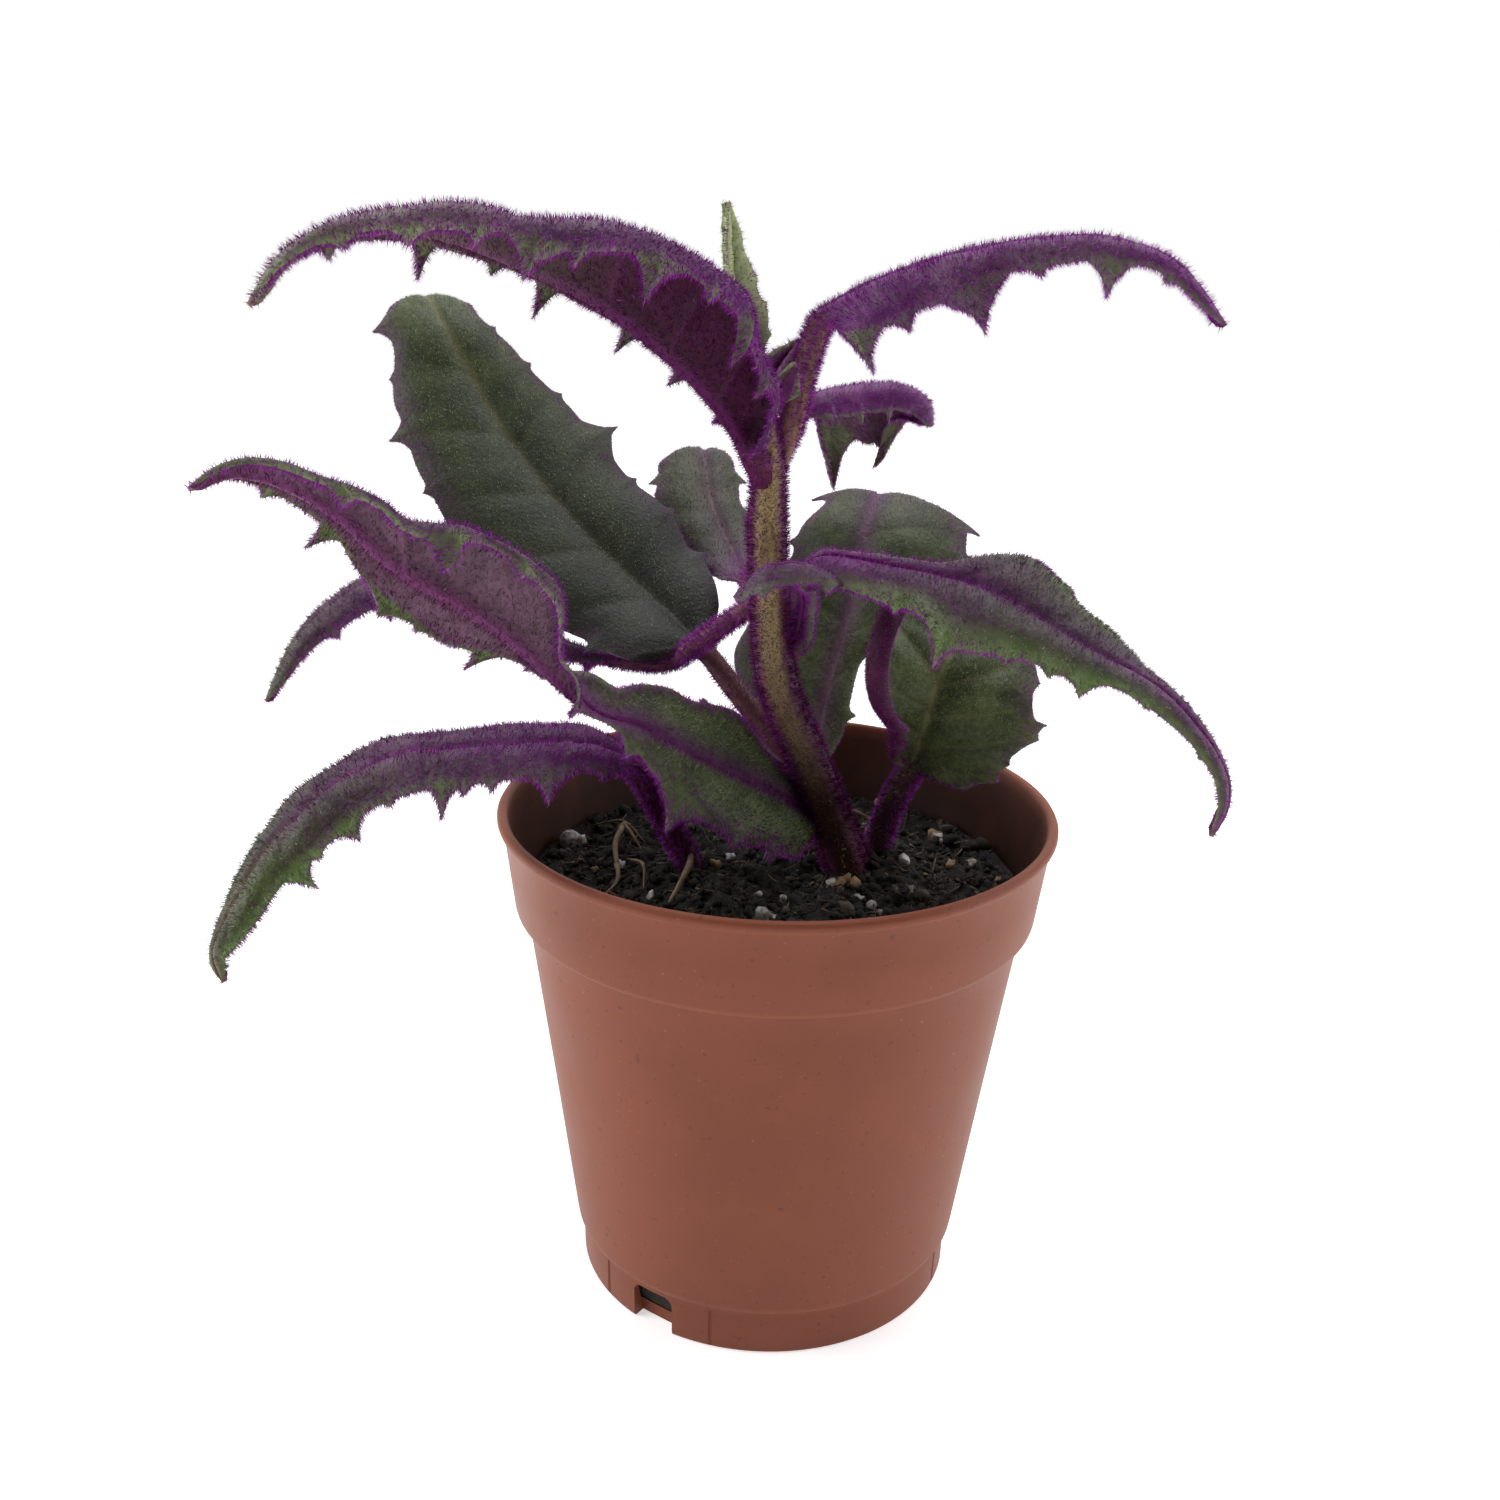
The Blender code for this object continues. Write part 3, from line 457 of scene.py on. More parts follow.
# x, y, size, whether it is bark
GRAINS = [(-1.0, -11.4, 1.1, 0), (-24.3, 8.4, 1.5, 0), (-22.6, 7.4, 1.3, 0), (19.6, 3.7, 0.85, 1),
          (18.6, 13.5, 0.9, 1), (7.6, -1.9, 1.0, 1), (8.6, -2.9, 0.8, 1), (7.0, -3.0, 0.7, 1),
          (10.3, -6.6, 0.7, 0), (11.5, -7.6, 0.6, 0), (9.0, -4.4, 0.6, 0), (0.9, -5.6, 0.5, 0),
          (14.4, -4.5, 0.6, 0), (22.0, 4.9, 0.6, 0), (4.2, 17.5, 0.9, 0), (12.5, 20.5, 0.8, 1),
          (-13.0, -6.5, 0.6, 0), (9.0, -22.0, 0.9, 0), (-7.4, -22.4, 0.9, 0), (-2.0, 22.0, 1.1, 0)]
LOOSE_GRAINS, LOOSE_BARK = 26, 0.35
count = len(GRAINS) + LOOSE_GRAINS
grains, own = copies(lump(2, 0.8, 9.0), count, "perlite_grains")
rng = np.random.default_rng(5)
loose = on_soil(rng, LOOSE_GRAINS)
places = np.vstack([np.array([(x, y, soil_height(x, y)) for x, y, size, bark in GRAINS]), loose])
sizes = np.concatenate([[size for x, y, size, bark in GRAINS], rng.uniform(0.35, 0.8, LOOSE_GRAINS)])
sizes = sizes[:, None] * rng.uniform(0.7, 1.15, (count, 3))
places[:, 2] += sizes[:, 2] * 0.35
off_wall(places, sizes, 1.3)
place_copies(grains, own, places, any_turns(rng, count), sizes)
barks = np.concatenate([[bark for *rest, bark in GRAINS], rng.random(LOOSE_GRAINS) < LOOSE_BARK])
give_slots(grains, [perlite_stone, bark_bit], barks)
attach(grains, "root")


# Dry fibres and fine roots lie over the soil: short dark ones all over, and long pale rootlets with a twig
# at the left of the stem. Each long one is a tapering tube along a drawn line.
def smooth_route(points, count):
    """An even walk of count points along a centripetal Catmull-Rom curve, with its length."""
    way = np.array(points, float)
    way = np.vstack([2 * way[0] - way[1], way, 2 * way[-1] - way[-2]])
    walk = []
    for start in range(len(way) - 3):
        a, b, c, d = way[start:start + 4]
        k1 = np.linalg.norm(b - a) ** 0.5
        k2 = k1 + np.linalg.norm(c - b) ** 0.5
        k3 = k2 + np.linalg.norm(d - c) ** 0.5
        for k in np.linspace(k1, k2, 24, endpoint=start == len(way) - 4):
            ab = ((k1 - k) * a + k * b) / k1
            bc = ((k2 - k) * b + (k - k1) * c) / (k2 - k1)
            cd = ((k3 - k) * c + (k - k2) * d) / (k3 - k2)
            abc = ((k2 - k) * ab + k * bc) / k2
            bcd = ((k3 - k) * bc + (k - k1) * cd) / (k3 - k1)
            walk.append(((k2 - k) * abc + (k - k1) * bcd) / (k2 - k1))
    walk = np.array(walk)
    passed = np.concatenate([[0.0], np.cumsum(np.linalg.norm(np.diff(walk, axis=0), axis=1))])
    even = np.linspace(0, passed[-1], count)
    return np.stack([np.interp(even, passed, walk[:, axis]) for axis in range(3)], -1), passed[-1]


def tube_along(points, radii, sides, steps, reference=(0.13, 0.21, 0.97)):
    """Rings of points of a tapering tube round a smooth line, each from the side square to the reference."""
    walk = smooth_route(points, steps)[0]
    slope = unit(np.gradient(walk, axis=0))
    side = unit(np.cross(slope, reference))
    other = np.cross(slope, side)
    radius = np.interp(np.linspace(0, 1, steps), np.linspace(0, 1, len(radii)), radii)
    angle = np.linspace(0, 2 * math.pi, sides, endpoint=False)[None, :, None]
    ring = side[:, None] * np.cos(angle) + other[:, None] * np.sin(angle)
    return walk[:, None] + ring * radius[:, None, None]


def wrapped(rings_of_points, name, tables=None, smooth_angle=60.0):
    """A closed body through rings of points: one grid wrapped round, welded, and filled at its ends.
    tables are named values for every point, which become attributes for the materials."""
    count, around = rings_of_points.shape[:2]
    form = bmesh.new()
    bmesh.ops.create_grid(form, x_segments=count - 1, y_segments=around, size=1.0)
    bmesh.ops.reverse_faces(form, faces=form.faces)
    mesh = bpy.data.meshes.new(name)
    form.to_mesh(mesh)
    form.free()
    flat = np.empty(len(mesh.vertices) * 3)
    mesh.vertices.foreach_get("co", flat)
    flat = flat.reshape(-1, 3)
    i = np.rint((flat[:, 0] + 1) / 2 * (count - 1)).astype(int)
    j = np.rint((flat[:, 1] + 1) / 2 * around).astype(int) % around
    mesh.vertices.foreach_set("co", (rings_of_points[i, j] * MM).ravel())
    for key, table in (tables or {}).items():
        values = table[i, j].astype(np.float32)
        mesh.attributes.new(key, "FLOAT", "POINT").data.foreach_set("value", values)
    form = bmesh.new()
    form.from_mesh(mesh)
    bpy.data.meshes.remove(mesh)
    bmesh.ops.remove_doubles(form, verts=form.verts, dist=1e-7)
    bmesh.ops.holes_fill(form, edges=[edge for edge in form.edges if edge.is_boundary], sides=0)
    return into_scene(form, name, smooth_angle)


rootlet = mottled("rootlet", 600.0, 3.0, 0.65, (0.2, 0.135, 0.075), (0.06, 0.036, 0.022), 0.75)
# each long root or twig: points over the soil as x, y and height above it, and its radii from end to end
ROOTS = [
    ([(-17.2, 11.5, 1.0), (-17.4, 7.0, 1.8), (-17.8, 2.0, 1.4), (-17.0, -3.0, 0.9), (-18.0, -7.5, 0.2)],
     (0.2, 0.34, 0.3, 0.25, 0.1)),
    ([(-21.8, 12.5, 0.3), (-19.5, 11.0, 1.4), (-17.6, 9.5, 1.6), (-15.0, 8.5, 0.4)],
     (0.08, 0.14, 0.16, 0.08)),
    ([(-21.5, 8.0, 0.3), (-19.0, 8.5, 1.2), (-17.3, 6.5, 1.7), (-15.0, 3.5, 0.3)], (0.08, 0.13, 0.15, 0.08)),
    ([(-16.5, 1.5, 0.8), (-14.5, -1.0, 1.2), (-14.0, -5.0, 0.3)], (0.12, 0.2, 0.08)),
    ([(-9.6, 1.0, 0.9), (-9.2, -3.5, 1.3), (-11.0, -9.6, 0.3)], (0.3, 0.4, 0.15)),
    ([(-5.0, -19.0, 0.3), (-1.5, -20.5, 1.1), (3.0, -19.5, 0.8), (6.0, -21.0, 0.3)],
     (0.12, 0.2, 0.18, 0.08)),
    ([(6.0, -15.5, 0.4), (8.0, -17.5, 1.8), (9.6, -18.0, 1.0), (11.0, -20.0, 0.3)], (0.5, 0.75, 0.55, 0.2)),
    ([(14.0, -16.0, 0.3), (17.0, -14.0, 1.0), (19.5, -15.0, 0.5)], (0.1, 0.18, 0.1)),
    ([(5.0, 15.0, 0.3), (9.0, 17.0, 1.0), (12.0, 15.0, 0.4)], (0.15, 0.25, 0.12)),
    ([(-12.0, 12.0, 0.3), (-9.0, 15.0, 1.1), (-4.0, 15.5, 0.4)], (0.15, 0.25, 0.12)),
]
ROOT_SIDES, ROOT_STEPS = 8, 30
for number, (line, radii) in enumerate(ROOTS):
    points = [(x, y, soil_height(x, y) + lift) for x, y, lift in line]
    piece = wrapped(tube_along(points, radii, ROOT_SIDES, ROOT_STEPS), "rootlet_%d" % number)
    piece.data.materials.append(rootlet)
    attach(piece, "root")

FIBRES, LONGEST_FIBRE = 1500, 4.5
form = bmesh.new()
bmesh.ops.create_cone(form, cap_ends=True, segments=4, radius1=1.0 * MM, radius2=0.35 * MM, depth=1.0 * MM)
fibres, own = copies(form, FIBRES, "soil_fibres")
rng = np.random.default_rng(23)
places = on_soil(rng, FIBRES, outer=24.5)
lengths = np.minimum(rng.gamma(2.0, 0.6, FIBRES) + 0.5, LONGEST_FIBRE)
ways = np.stack([rng.normal(0, 1, FIBRES), rng.normal(0, 1, FIBRES), rng.normal(0, 0.22, FIBRES)], 1)
places[:, 2] += 0.25
thick = rng.uniform(0.04, 0.13, FIBRES)
turns = turns_of(ways, rng.uniform(0, 6.3, FIBRES))
place_copies(fibres, own, places, turns, np.stack([thick, thick, lengths], 1))
give_slots(fibres, [peat_brown, rootlet, peat], rng.choice(3, FIBRES, p=(0.45, 0.35, 0.2)))
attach(fibres, "root")

# The stem is one leaning shoot with soft ridges, maroon at its foot and olive higher up, with violet sides.
# It is a tube whose rings carry the ridges, and it tapers to the young leaves at its top.
STEM = [(9.2, 3.0, 43.6), (8, 2.5, 47), (3, 0.5, 60), (-0.5, 0, 69), (-1.5, 0, 77.5), (-2, 0, 86),
        (-2, 0, 91), (-2.5, 0, 96), (-2.8, 0.2, 100.5)]
STEM_RADII = (2.5, 2.4, 2.2, 2.05, 2.0, 1.95, 1.9, 1.5, 0.7)
STEM_RIDGES, RIDGE_DEPTH = 6, 0.07
STEM_SIDES, STEM_STEPS = 56, 150
stem_rings = tube_along(STEM, STEM_RADII, STEM_SIDES, STEM_STEPS, (0, 1, 0))
round_stem = np.arange(STEM_SIDES) / STEM_SIDES * 2 * math.pi
ridge = 0.5 + 0.5 * np.cos(STEM_RIDGES * round_stem)
centre = stem_rings.mean(1, keepdims=True)
stem_rings = centre + (stem_rings - centre) * (1 - RIDGE_DEPTH * (1 - ridge))[None, :, None]
# the front and the back are nearly bare between the ridges; the sides are violet
sides = np.tile(0.5 + 0.5 * np.cos(2 * round_stem), (STEM_STEPS, 1))
climb = np.tile(np.linspace(0, 1, STEM_STEPS)[:, None], (1, STEM_SIDES))
stem = wrapped(stem_rings, "stem", {"ridge": np.clip(sides * 1.05 + ridge * 0.2, 0, 1), "climb": climb})
skin, n = new_material("stem_skin", Roughness=0.5, Sheen_Weight=0.25, Sheen_Roughness=0.4,
                       Sheen_Tint=(0.6, 0.35, 0.7))
speck = n.noise(4200.0, 3.0)
tone = n.mix(n.ramp(n.noise(380.0, 4.0), 0.35, 0.65), (0.48, 0.35, 0.135), (0.33, 0.205, 0.09))
tone = n.mix(n.ramp(n.attribute("climb"), 0.1, 0.72, 0.97, 0.0), tone, (0.055, 0.018, 0.026))
tone = n.mix(n.ramp(n.attribute("ridge"), 0.3, 0.75, 0.0, 0.9), tone, (0.13, 0.014, 0.08))
n.colour(n.mix(n.ramp(speck, 0.52, 0.6, 0.0, 0.75), tone, (0.09, 0.04, 0.03)))
n.bump(speck, 0.35, 0.0002)
stem.data.materials.append(skin)
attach(stem, "root")
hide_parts("main_stem")

# The hairs are soft tapered threads of about a millimetre, all over the shoot and thickest along the
# margins. Vivid violet ones cover what is young; older leaves have dusky and silvery ones. Lighter violet and
# pale silver ones are painted glints. Each is one pointed sliver, copied over the piece that it grows on.
HAIR_COLOURS = (("vivid", (0.25, 0.01, 0.28)), ("painted_light", (0.44, 0.08, 0.48)),
                ("dusky", (0.16, 0.055, 0.15)), ("silver", (0.13, 0.16, 0.075)),
                ("glinting", (0.44, 0.52, 0.34)), ("wine", (0.1, 0.008, 0.055)), ("straw", (0.42, 0.31, 0.13)))
VIVID, VIOLET_GLINT, DUSKY, SILVER, PALE_GLINT, WINE, STRAW = range(len(HAIR_COLOURS))
HAIR_SUNK = 0.05
hair_materials = [new_material("hair_" + name, Base_Color=colour, Roughness=0.6, Specular_IOR_Level=0.2)[0]
                  for name, colour in HAIR_COLOURS]


def hair_form():
    """One hair: a narrow pointed sliver, 1 mm wide and 1 mm long before it is sized."""
    form = bmesh.new()
    bmesh.ops.create_grid(form, x_segments=1, y_segments=1, size=0.5 * MM)
    bmesh.ops.translate(form, vec=(0, 0.5 * MM, 0), verts=form.verts)
    upright = Matrix.Rotation(math.radians(90), 3, "X")
    bmesh.ops.rotate(form, cent=(0, 0, 0), matrix=upright, verts=form.verts)
    upper = [vert for vert in form.verts if vert.co.z > 0.9 * MM]
    bmesh.ops.pointmerge(form, verts=upper, merge_co=(0, 0, 1.0 * MM))
    return form


def grow_hairs(name, rings_of_points, weight, lean, flush, density, length, seed, thick, plain=SILVER,
               glinting=0.0, wine=0.0):
    """Hairs over a closed body of rings. weight, lean and flush hold a value or a way for every point: how
    thick the hairs stand, where they lean, and how many are violet. density is per square mm. glinting is the
    share of the silver ones that take the pale colour of a painted glint, and wine the share of the violet
    ones that are wine red."""
    rng = np.random.default_rng(seed)
    a, d = rings_of_points[:-1], rings_of_points[1:]
    b, c = np.roll(a, -1, 1), np.roll(d, -1, 1)
    out = np.cross(c - a, d - b)
    if (out * (a + c)).sum() < 0:
        out = -out
    area = np.linalg.norm(out, axis=-1) / 2
    out = out / np.maximum(2 * area, 1e-9)[..., None]
    chance = area * weight[:-1]
    count = int(chance.sum() * density)
    pick = rng.choice(chance.size, count, p=(chance / chance.sum()).ravel())
    i, j = pick // chance.shape[1], pick % chance.shape[1]

    def at(value):
        """The value at each hair, where it varies over the body."""
        return value[i, j] if isinstance(value, np.ndarray) else value

    u, v = rng.random(count)[:, None], rng.random(count)[:, None]
    spots = (a[i, j] * (1 - u) + d[i, j] * u) * (1 - v) + (b[i, j] * (1 - u) + c[i, j] * u) * v
    ways = out[i, j] + lean[i, j] + rng.normal(0, 0.3, (count, 3))
    size = at(length) * rng.uniform(0.55, 1.15, count)
    wide = at(thick) * rng.uniform(0.7, 1.2, count)
    made, own = copies(hair_form(), count, name)
    turns = turns_of(ways, rng.uniform(0, 6.3, count))
    place_copies(made, own, spots - out[i, j] * HAIR_SUNK, turns, np.stack([wide, wide, size], 1))
    purple = flush[i, j] + rng.normal(0, 0.12, count)
    # about a quarter of the violet hairs take the lighter violet, a painted glint
    violet = np.where(rng.random(count) < 0.28, VIOLET_GLINT, VIVID)
    choice = np.where(purple > 0.6, violet, np.where(purple > 0.34, DUSKY, plain))
    # a share of the silver hairs take the pale colour, a painted glint
    choice = np.where((choice == SILVER) & (rng.random(count) < at(glinting)), PALE_GLINT, choice)
    choice = np.where((choice <= DUSKY) & (rng.random(count) < at(wine)), WINE, choice)
    give_slots(made, hair_materials, choice)
    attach(made, "root")


climb_way = unit(np.gradient(smooth_route(STEM, STEM_STEPS)[0], axis=0))
grow_hairs("stem_hairs", stem_rings, weight=0.55 + 1.2 * sides + 0.3 * climb,
           lean=0.25 * np.tile(climb_way[:, None], (1, STEM_SIDES, 1)), flush=0.32 + 0.75 * sides ** 0.7,
           density=24.0, length=0.92, seed=31, thick=0.085, plain=STRAW,
           wine=0.85 - 0.4 * climb)

# A leaf is one soft blade with coarse hooked teeth, quilted between its side veins, on a round stalk that
# runs on below it as the midrib. Its upper side is dark velvety green and its underside maroon; both are
# violet on young leaves. One closed body is drawn through its sections, from the stalk's foot to the tip.
BLADE = 0.5
RIB_DEPTH, RIB_SPREAD = 0.7, 0.8
ROUTE_STEPS, STALK_STEP = 400, 1.2
STALK_HAIR_LENGTH, STALK_HAIR_WIDTH = 0.85, 0.085
MARGIN_HAIRS = 2.2


def keyed(values, t):
    """Values or ways at even steps, eased between one step and the next; a plain number holds all along."""
    if isinstance(values, (int, float)):
        return np.full(len(t), float(values))
    table = np.array(values, float)
    place = t * (len(table) - 1)
    low = np.clip(np.floor(place).astype(int), 0, len(table) - 2)
    share = place - low
    share = share * share * (3 - 2 * share)
    share = share[:, None] if table.ndim == 2 else share
    return table[low] * (1 - share) + table[low + 1] * share


def teeth_along(teeth, t, blade_length):
    """How far the teeth stand out along the blade, each a broad lobe with a narrow point."""
    tooth = np.zeros(len(t))
    for place, size, *broad in teeth:
        reach = broad[0] if broad else 0.6 + 0.6 * size
        away = (t - place) * blade_length / reach
        away = np.where(away > 0, away * 1.25, -away * 0.85)
        lobe = np.clip(1 - away / 1.25, 0, 1) ** (1.4 if broad else 2.0)
        point = np.clip(1 - away * reach / 0.75, 0, 1) ** 1.3
        tooth = np.maximum(tooth, size * (0.75 * lobe + 0.25 * point))
    return tooth


def grow_leaf(name, node, route, blade, stalk, face, left, right, roll, teeth_left, teeth_right, flush_top,
              flush_under, seed, fold=10, hook=1.6, foot=3.5, jag=0.62, half=18, along=170, rim=0.7,
              quilt=0.7, veins=7, vein_slope=0.10, fresh=0.5, young=0, painted_light=1, blush=0.0, deep=0.0,
              glinting=0.1, shine=(), hair_length=0.62, hair_width=0.075, hair_density=17.0):
    """One leaf with its hairs. A list holds values at even steps along the blade; a number holds all along.

    route is the midrib from foot to tip, blade the share of it where the blade begins, stalk the radii at
    the foot and there, and foot the length over which the stalk narrows towards its root. face is the way
    of the upper side, and left and right are half widths. fold and roll are degrees at the rib and out to
    the margin, for both halves or as (left, right); the roll comes late for a high hook. A tooth is (place,
    size) or (place, size, breadth), and jag is the share of the half width within the teeth. half and along
    are the steps across and along. rim is the width of the fresh green border, and quilt is how far the
    blade swells between its side veins, which lean by vein_slope.

    flush_top and flush_under say how violet the sides are, blush how violet the midrib is, fresh how green
    the border is, and young how pale the blade is. painted_light is painted light and shade along the blade,
    which its colour is multiplied by and where its hairs thin out when low. deep and glinting are shares of
    wine red hairs and of pale hairs that are painted glints, and shine lists patches of painted sheen with
    more of them, as (place along, place across, amount)."""
    walk, length = smooth_route(route, ROUTE_STEPS)
    blade_length = length * (1 - blade)
    stalk_steps = max(3, int(blade * length / STALK_STEP))
    on_stalk = np.linspace(0, blade, stalk_steps, endpoint=False)
    at_share = np.concatenate([on_stalk, np.linspace(blade, 1, along)])
    # a section stands at the point of every tooth
    for place, *size in teeth_left + teeth_right:
        point = blade + place * (1 - blade)
        at_share[np.argmin(np.abs(at_share - point))] = point
    t = np.clip((at_share - blade) / (1 - blade), 0, 1)

    def at_sections(ways):
        """The walk's places or ways, read at the sections."""
        index = at_share * (len(walk) - 1)
        return np.stack([np.interp(index, np.arange(len(walk)), ways[:, axis]) for axis in range(3)], -1)

    centre = at_sections(walk)
    ahead = unit(at_sections(unit(np.gradient(walk, axis=0))))
    way = keyed(face, t)
    up = unit(way - (way * ahead).sum(1, keepdims=True) * ahead)
    out = np.cross(ahead, up)
    base = np.clip(t / 0.035, 0, 1) ** 0.5
    tip = np.minimum(1, (1 - t) / 0.06) ** 0.6
    # each half is walked from the rib to the margin, in steps that turn with the fold and the roll
    spots, normals, marks = [], [], []
    inner = int(half * jag)
    ripples = np.random.default_rng(seed).uniform(0, 6.3, 2)
    for pick, sign, widths, teeth in ((0, -1, left, teeth_left), (1, 1, right, teeth_right)):
        width = np.maximum(keyed(widths, t) * tip * np.maximum(base, 0.15), 0.12)
        tooth = teeth_along(teeth, t, blade_length) * np.minimum(1, tip + 0.3) * base
        border = np.minimum(rim, 0.5 * width)
        fold_angle = np.radians(keyed(fold[pick] if isinstance(fold, tuple) else fold, t))
        roll_angle = np.radians(keyed(roll[pick] if isinstance(roll, tuple) else roll, t))
        place = centre.copy()
        for number, share in enumerate(np.linspace(0, 1, half + 1)):
            turn = fold_angle - roll_angle * share ** hook
            normal = -sign * out * np.sin(turn)[:, None] + up * np.cos(turn)[:, None]
            # side veins leave the rib towards the tip; the blade swells between them and sinks at them
            vein_place = (t - vein_slope * share ** 0.9) * veins + (0.25 if sign > 0 else 0.0)
            gap = np.abs(vein_place - np.rint(vein_place)) / veins * blade_length
            start, broad = np.clip(t / 0.05, 0, 1), np.minimum(width / 8.0, 1)
            vein = np.exp(-(gap / 0.45) ** 2) * (1 - 0.6 * share) * start
            swell = (1 - np.exp(-(gap / 1.6) ** 2)) * np.sin(math.pi * min(share * 1.1, 1.0)) * broad
            relief = quilt * (0.38 * swell - 0.16 * vein) - 0.25 * math.exp(-(share * 9.0) ** 2) * start
            relief = relief + 0.25 * share ** 2 * np.sin(t * 31.0 + ripples[pick]) * broad
            spots.append(place + normal * relief[:, None])
            normals.append(normal)
            beyond = width * share + tooth * max(0.0, share - inner / half) / (1 - inner / half)
            marks.append((sign * share, vein, np.clip((beyond - width + border) / border, 0, 1)))
            middle = fold_angle - roll_angle * min(1.0, share + 0.5 / half) ** hook
            step = width / half + (tooth / (half - inner) if number >= inner else 0.0)
            onward = sign * out * np.cos(middle)[:, None] + up * np.sin(middle)[:, None]
            place = place + onward * step[:, None]
    # the halves make one sheet from margin to margin, whose rib stands in both of them but counts once
    order = list(range(half, -1, -1)) + list(range(half + 2, 2 * half + 2))
    spots, normals = (np.stack([table[k] for k in order], 1) for table in (spots, normals))
    shares = np.array([marks[k][0] for k in order])
    vein, green = (np.stack([marks[k][mark] for k in order], 1) for mark in (1, 2))
    sheet = len(shares)

    def both_sides(values):
        """The sheet's values, along its upper side and back along its underside."""
        return np.concatenate([values, values[:, ::-1]], 1)

    def across_all(values):
        """The sections' values, the same all round each."""
        return np.tile(values[:, None], (1, 2 * sheet))

    away = np.linalg.norm(spots - centre[:, None], axis=-1)
    rib = (RIB_DEPTH * (1 - 0.8 * t))[:, None] * np.exp(-(away / RIB_SPREAD) ** 2)
    vein_below = 0.22 * vein * (1 - np.exp(-(away / 1.0) ** 2))
    thin = BLADE / 2 * (1 - 0.45 * np.abs(shares) ** 3)[None, :, None]
    under = spots - normals * (thin + (rib + vein_below)[..., None])
    flat = np.concatenate([spots + normals * thin, under[:, ::-1]], 1)
    # the stalk is round, and goes over into the blade's section where the blade begins and at its very tip
    radius = np.interp(at_share, [0, max(blade, 1e-6), 1], [stalk[0], stalk[1], 0.2])
    radius = radius * np.interp(at_share * length, [0, foot], [0.45 * 3.5 / foot, 1.0])
    quarter = math.pi / 2 * (1 - 1 / (sheet + 1))
    turns = np.concatenate([shares * quarter, math.pi - shares[::-1] * quarter])[None, :, None]
    ring = np.sin(turns) * out[:, None] + np.cos(turns) * up[:, None]
    ring = centre[:, None] + radius[:, None, None] * ring
    blend = np.minimum(np.clip((at_share - blade) / 0.06, 0, 1), np.clip((1 - t) / 0.012, 0, 1))
    blend = (blend * blend * (3 - 2 * blend))[:, None]
    body = ring * (1 - blend[..., None]) + flat * blend[..., None]
    # what the materials and the hairs read at every point
    under_side = np.tile(np.concatenate([np.zeros(sheet), np.ones(sheet)]), (len(t), 1))
    spread = both_sides(away)
    flush = keyed(flush_top, t)[:, None] * (1 - under_side) + keyed(flush_under, t)[:, None] * under_side
    flush = np.clip(flush + blush * (1 - 0.6 * under_side) * np.exp(-(spread / 1.6) ** 2), 0, 1)
    margin = both_sides(green) * blend
    fresh = across_all(keyed(fresh, t))
    rib_line = np.exp(-(spread / (0.5 + 0.25 * under_side)) ** 2) * blend
    stalk_share = np.tile(1 - blend, (1, 2 * sheet))
    painted_shading = across_all(keyed(painted_light, t))
    tables = {"flush": flush, "margin": margin, "rib": rib_line, "vein": both_sides(vein) * blend,
              "stalk": stalk_share, "fresh": fresh, "young": across_all(keyed(young, t)),
              "painted_light": painted_shading}
    made = wrapped(body, name, {**tables, "under": under_side})
    below = np.empty(len(made.data.vertices))
    made.data.attributes["under"].data.foreach_get("value", below)
    corners = np.array([[polygon.vertices[0], polygon.vertices[2]] for polygon in made.data.polygons])
    made.data.polygons.foreach_set("material_index", (below[corners].mean(1) > 0.5).astype(np.int32))
    made.data.attributes.remove(made.data.attributes["under"])
    made.data.materials.append(leaf_top)
    made.data.materials.append(leaf_under)
    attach(made, "root")
    if node:
        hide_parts(node)
    # hairs stand thickest on the margins and lean out over them, and those of the stalk are a little larger
    both = np.concatenate([shares, shares[::-1]])
    fray = np.tile(np.abs(both) ** 6, (len(t), 1))
    sides = np.concatenate([np.sign(shares), -np.sign(shares[::-1])])[None, :, None]
    outward = unit(np.gradient(body, axis=1)) * sides
    lean = outward * (fray * 1.6)[..., None] + ahead[:, None] * 0.25
    weight = 0.75 + MARGIN_HAIRS * fray * blend + 0.5 * rib_line * under_side + 0.4 * stalk_share
    weight = weight * (1 + 0.8 * stalk_share) * np.clip(at_share * length / foot - 0.5, 0, 1)[:, None]
    # hairs thin out where painted shade darkens the blade
    weight = weight * np.minimum(1, 0.2 + 0.8 * painted_shading) * (1 - 0.6 * rib_line * (1 - under_side))
    # at the margin they are more violet by the quarter turn, which is about 1.5, and less on a fresh border
    hairs_flush = flush + quarter * np.abs(both) ** 5 + 0.3 * stalk_share - 0.9 * margin * fresh
    reach = hair_length + (STALK_HAIR_LENGTH - hair_length) * stalk_share
    thick = hair_width + (STALK_HAIR_WIDTH - hair_width) * stalk_share
    # pale hairs as painted glints: a few everywhere, more in the painted sheen patches, hardly any on the
    # underside
    glint = np.full(weight.shape, float(glinting))
    for place, share, amount in shine:
        patch = np.exp(-((t - place) / 0.14) ** 2)[:, None] * np.exp(-((both - share) / 0.3) ** 2)[None]
        glint = glint + amount * patch
    glint = np.where(under_side > 0.5, 0.05, glint)
    wine = np.maximum(0.8 * under_side * (1 - fray) * blend, deep)
    grow_hairs(name + "_hairs", body, weight, lean, hairs_flush, hair_density, reach, seed + 100,
               thick, glinting=glint, wine=wine)


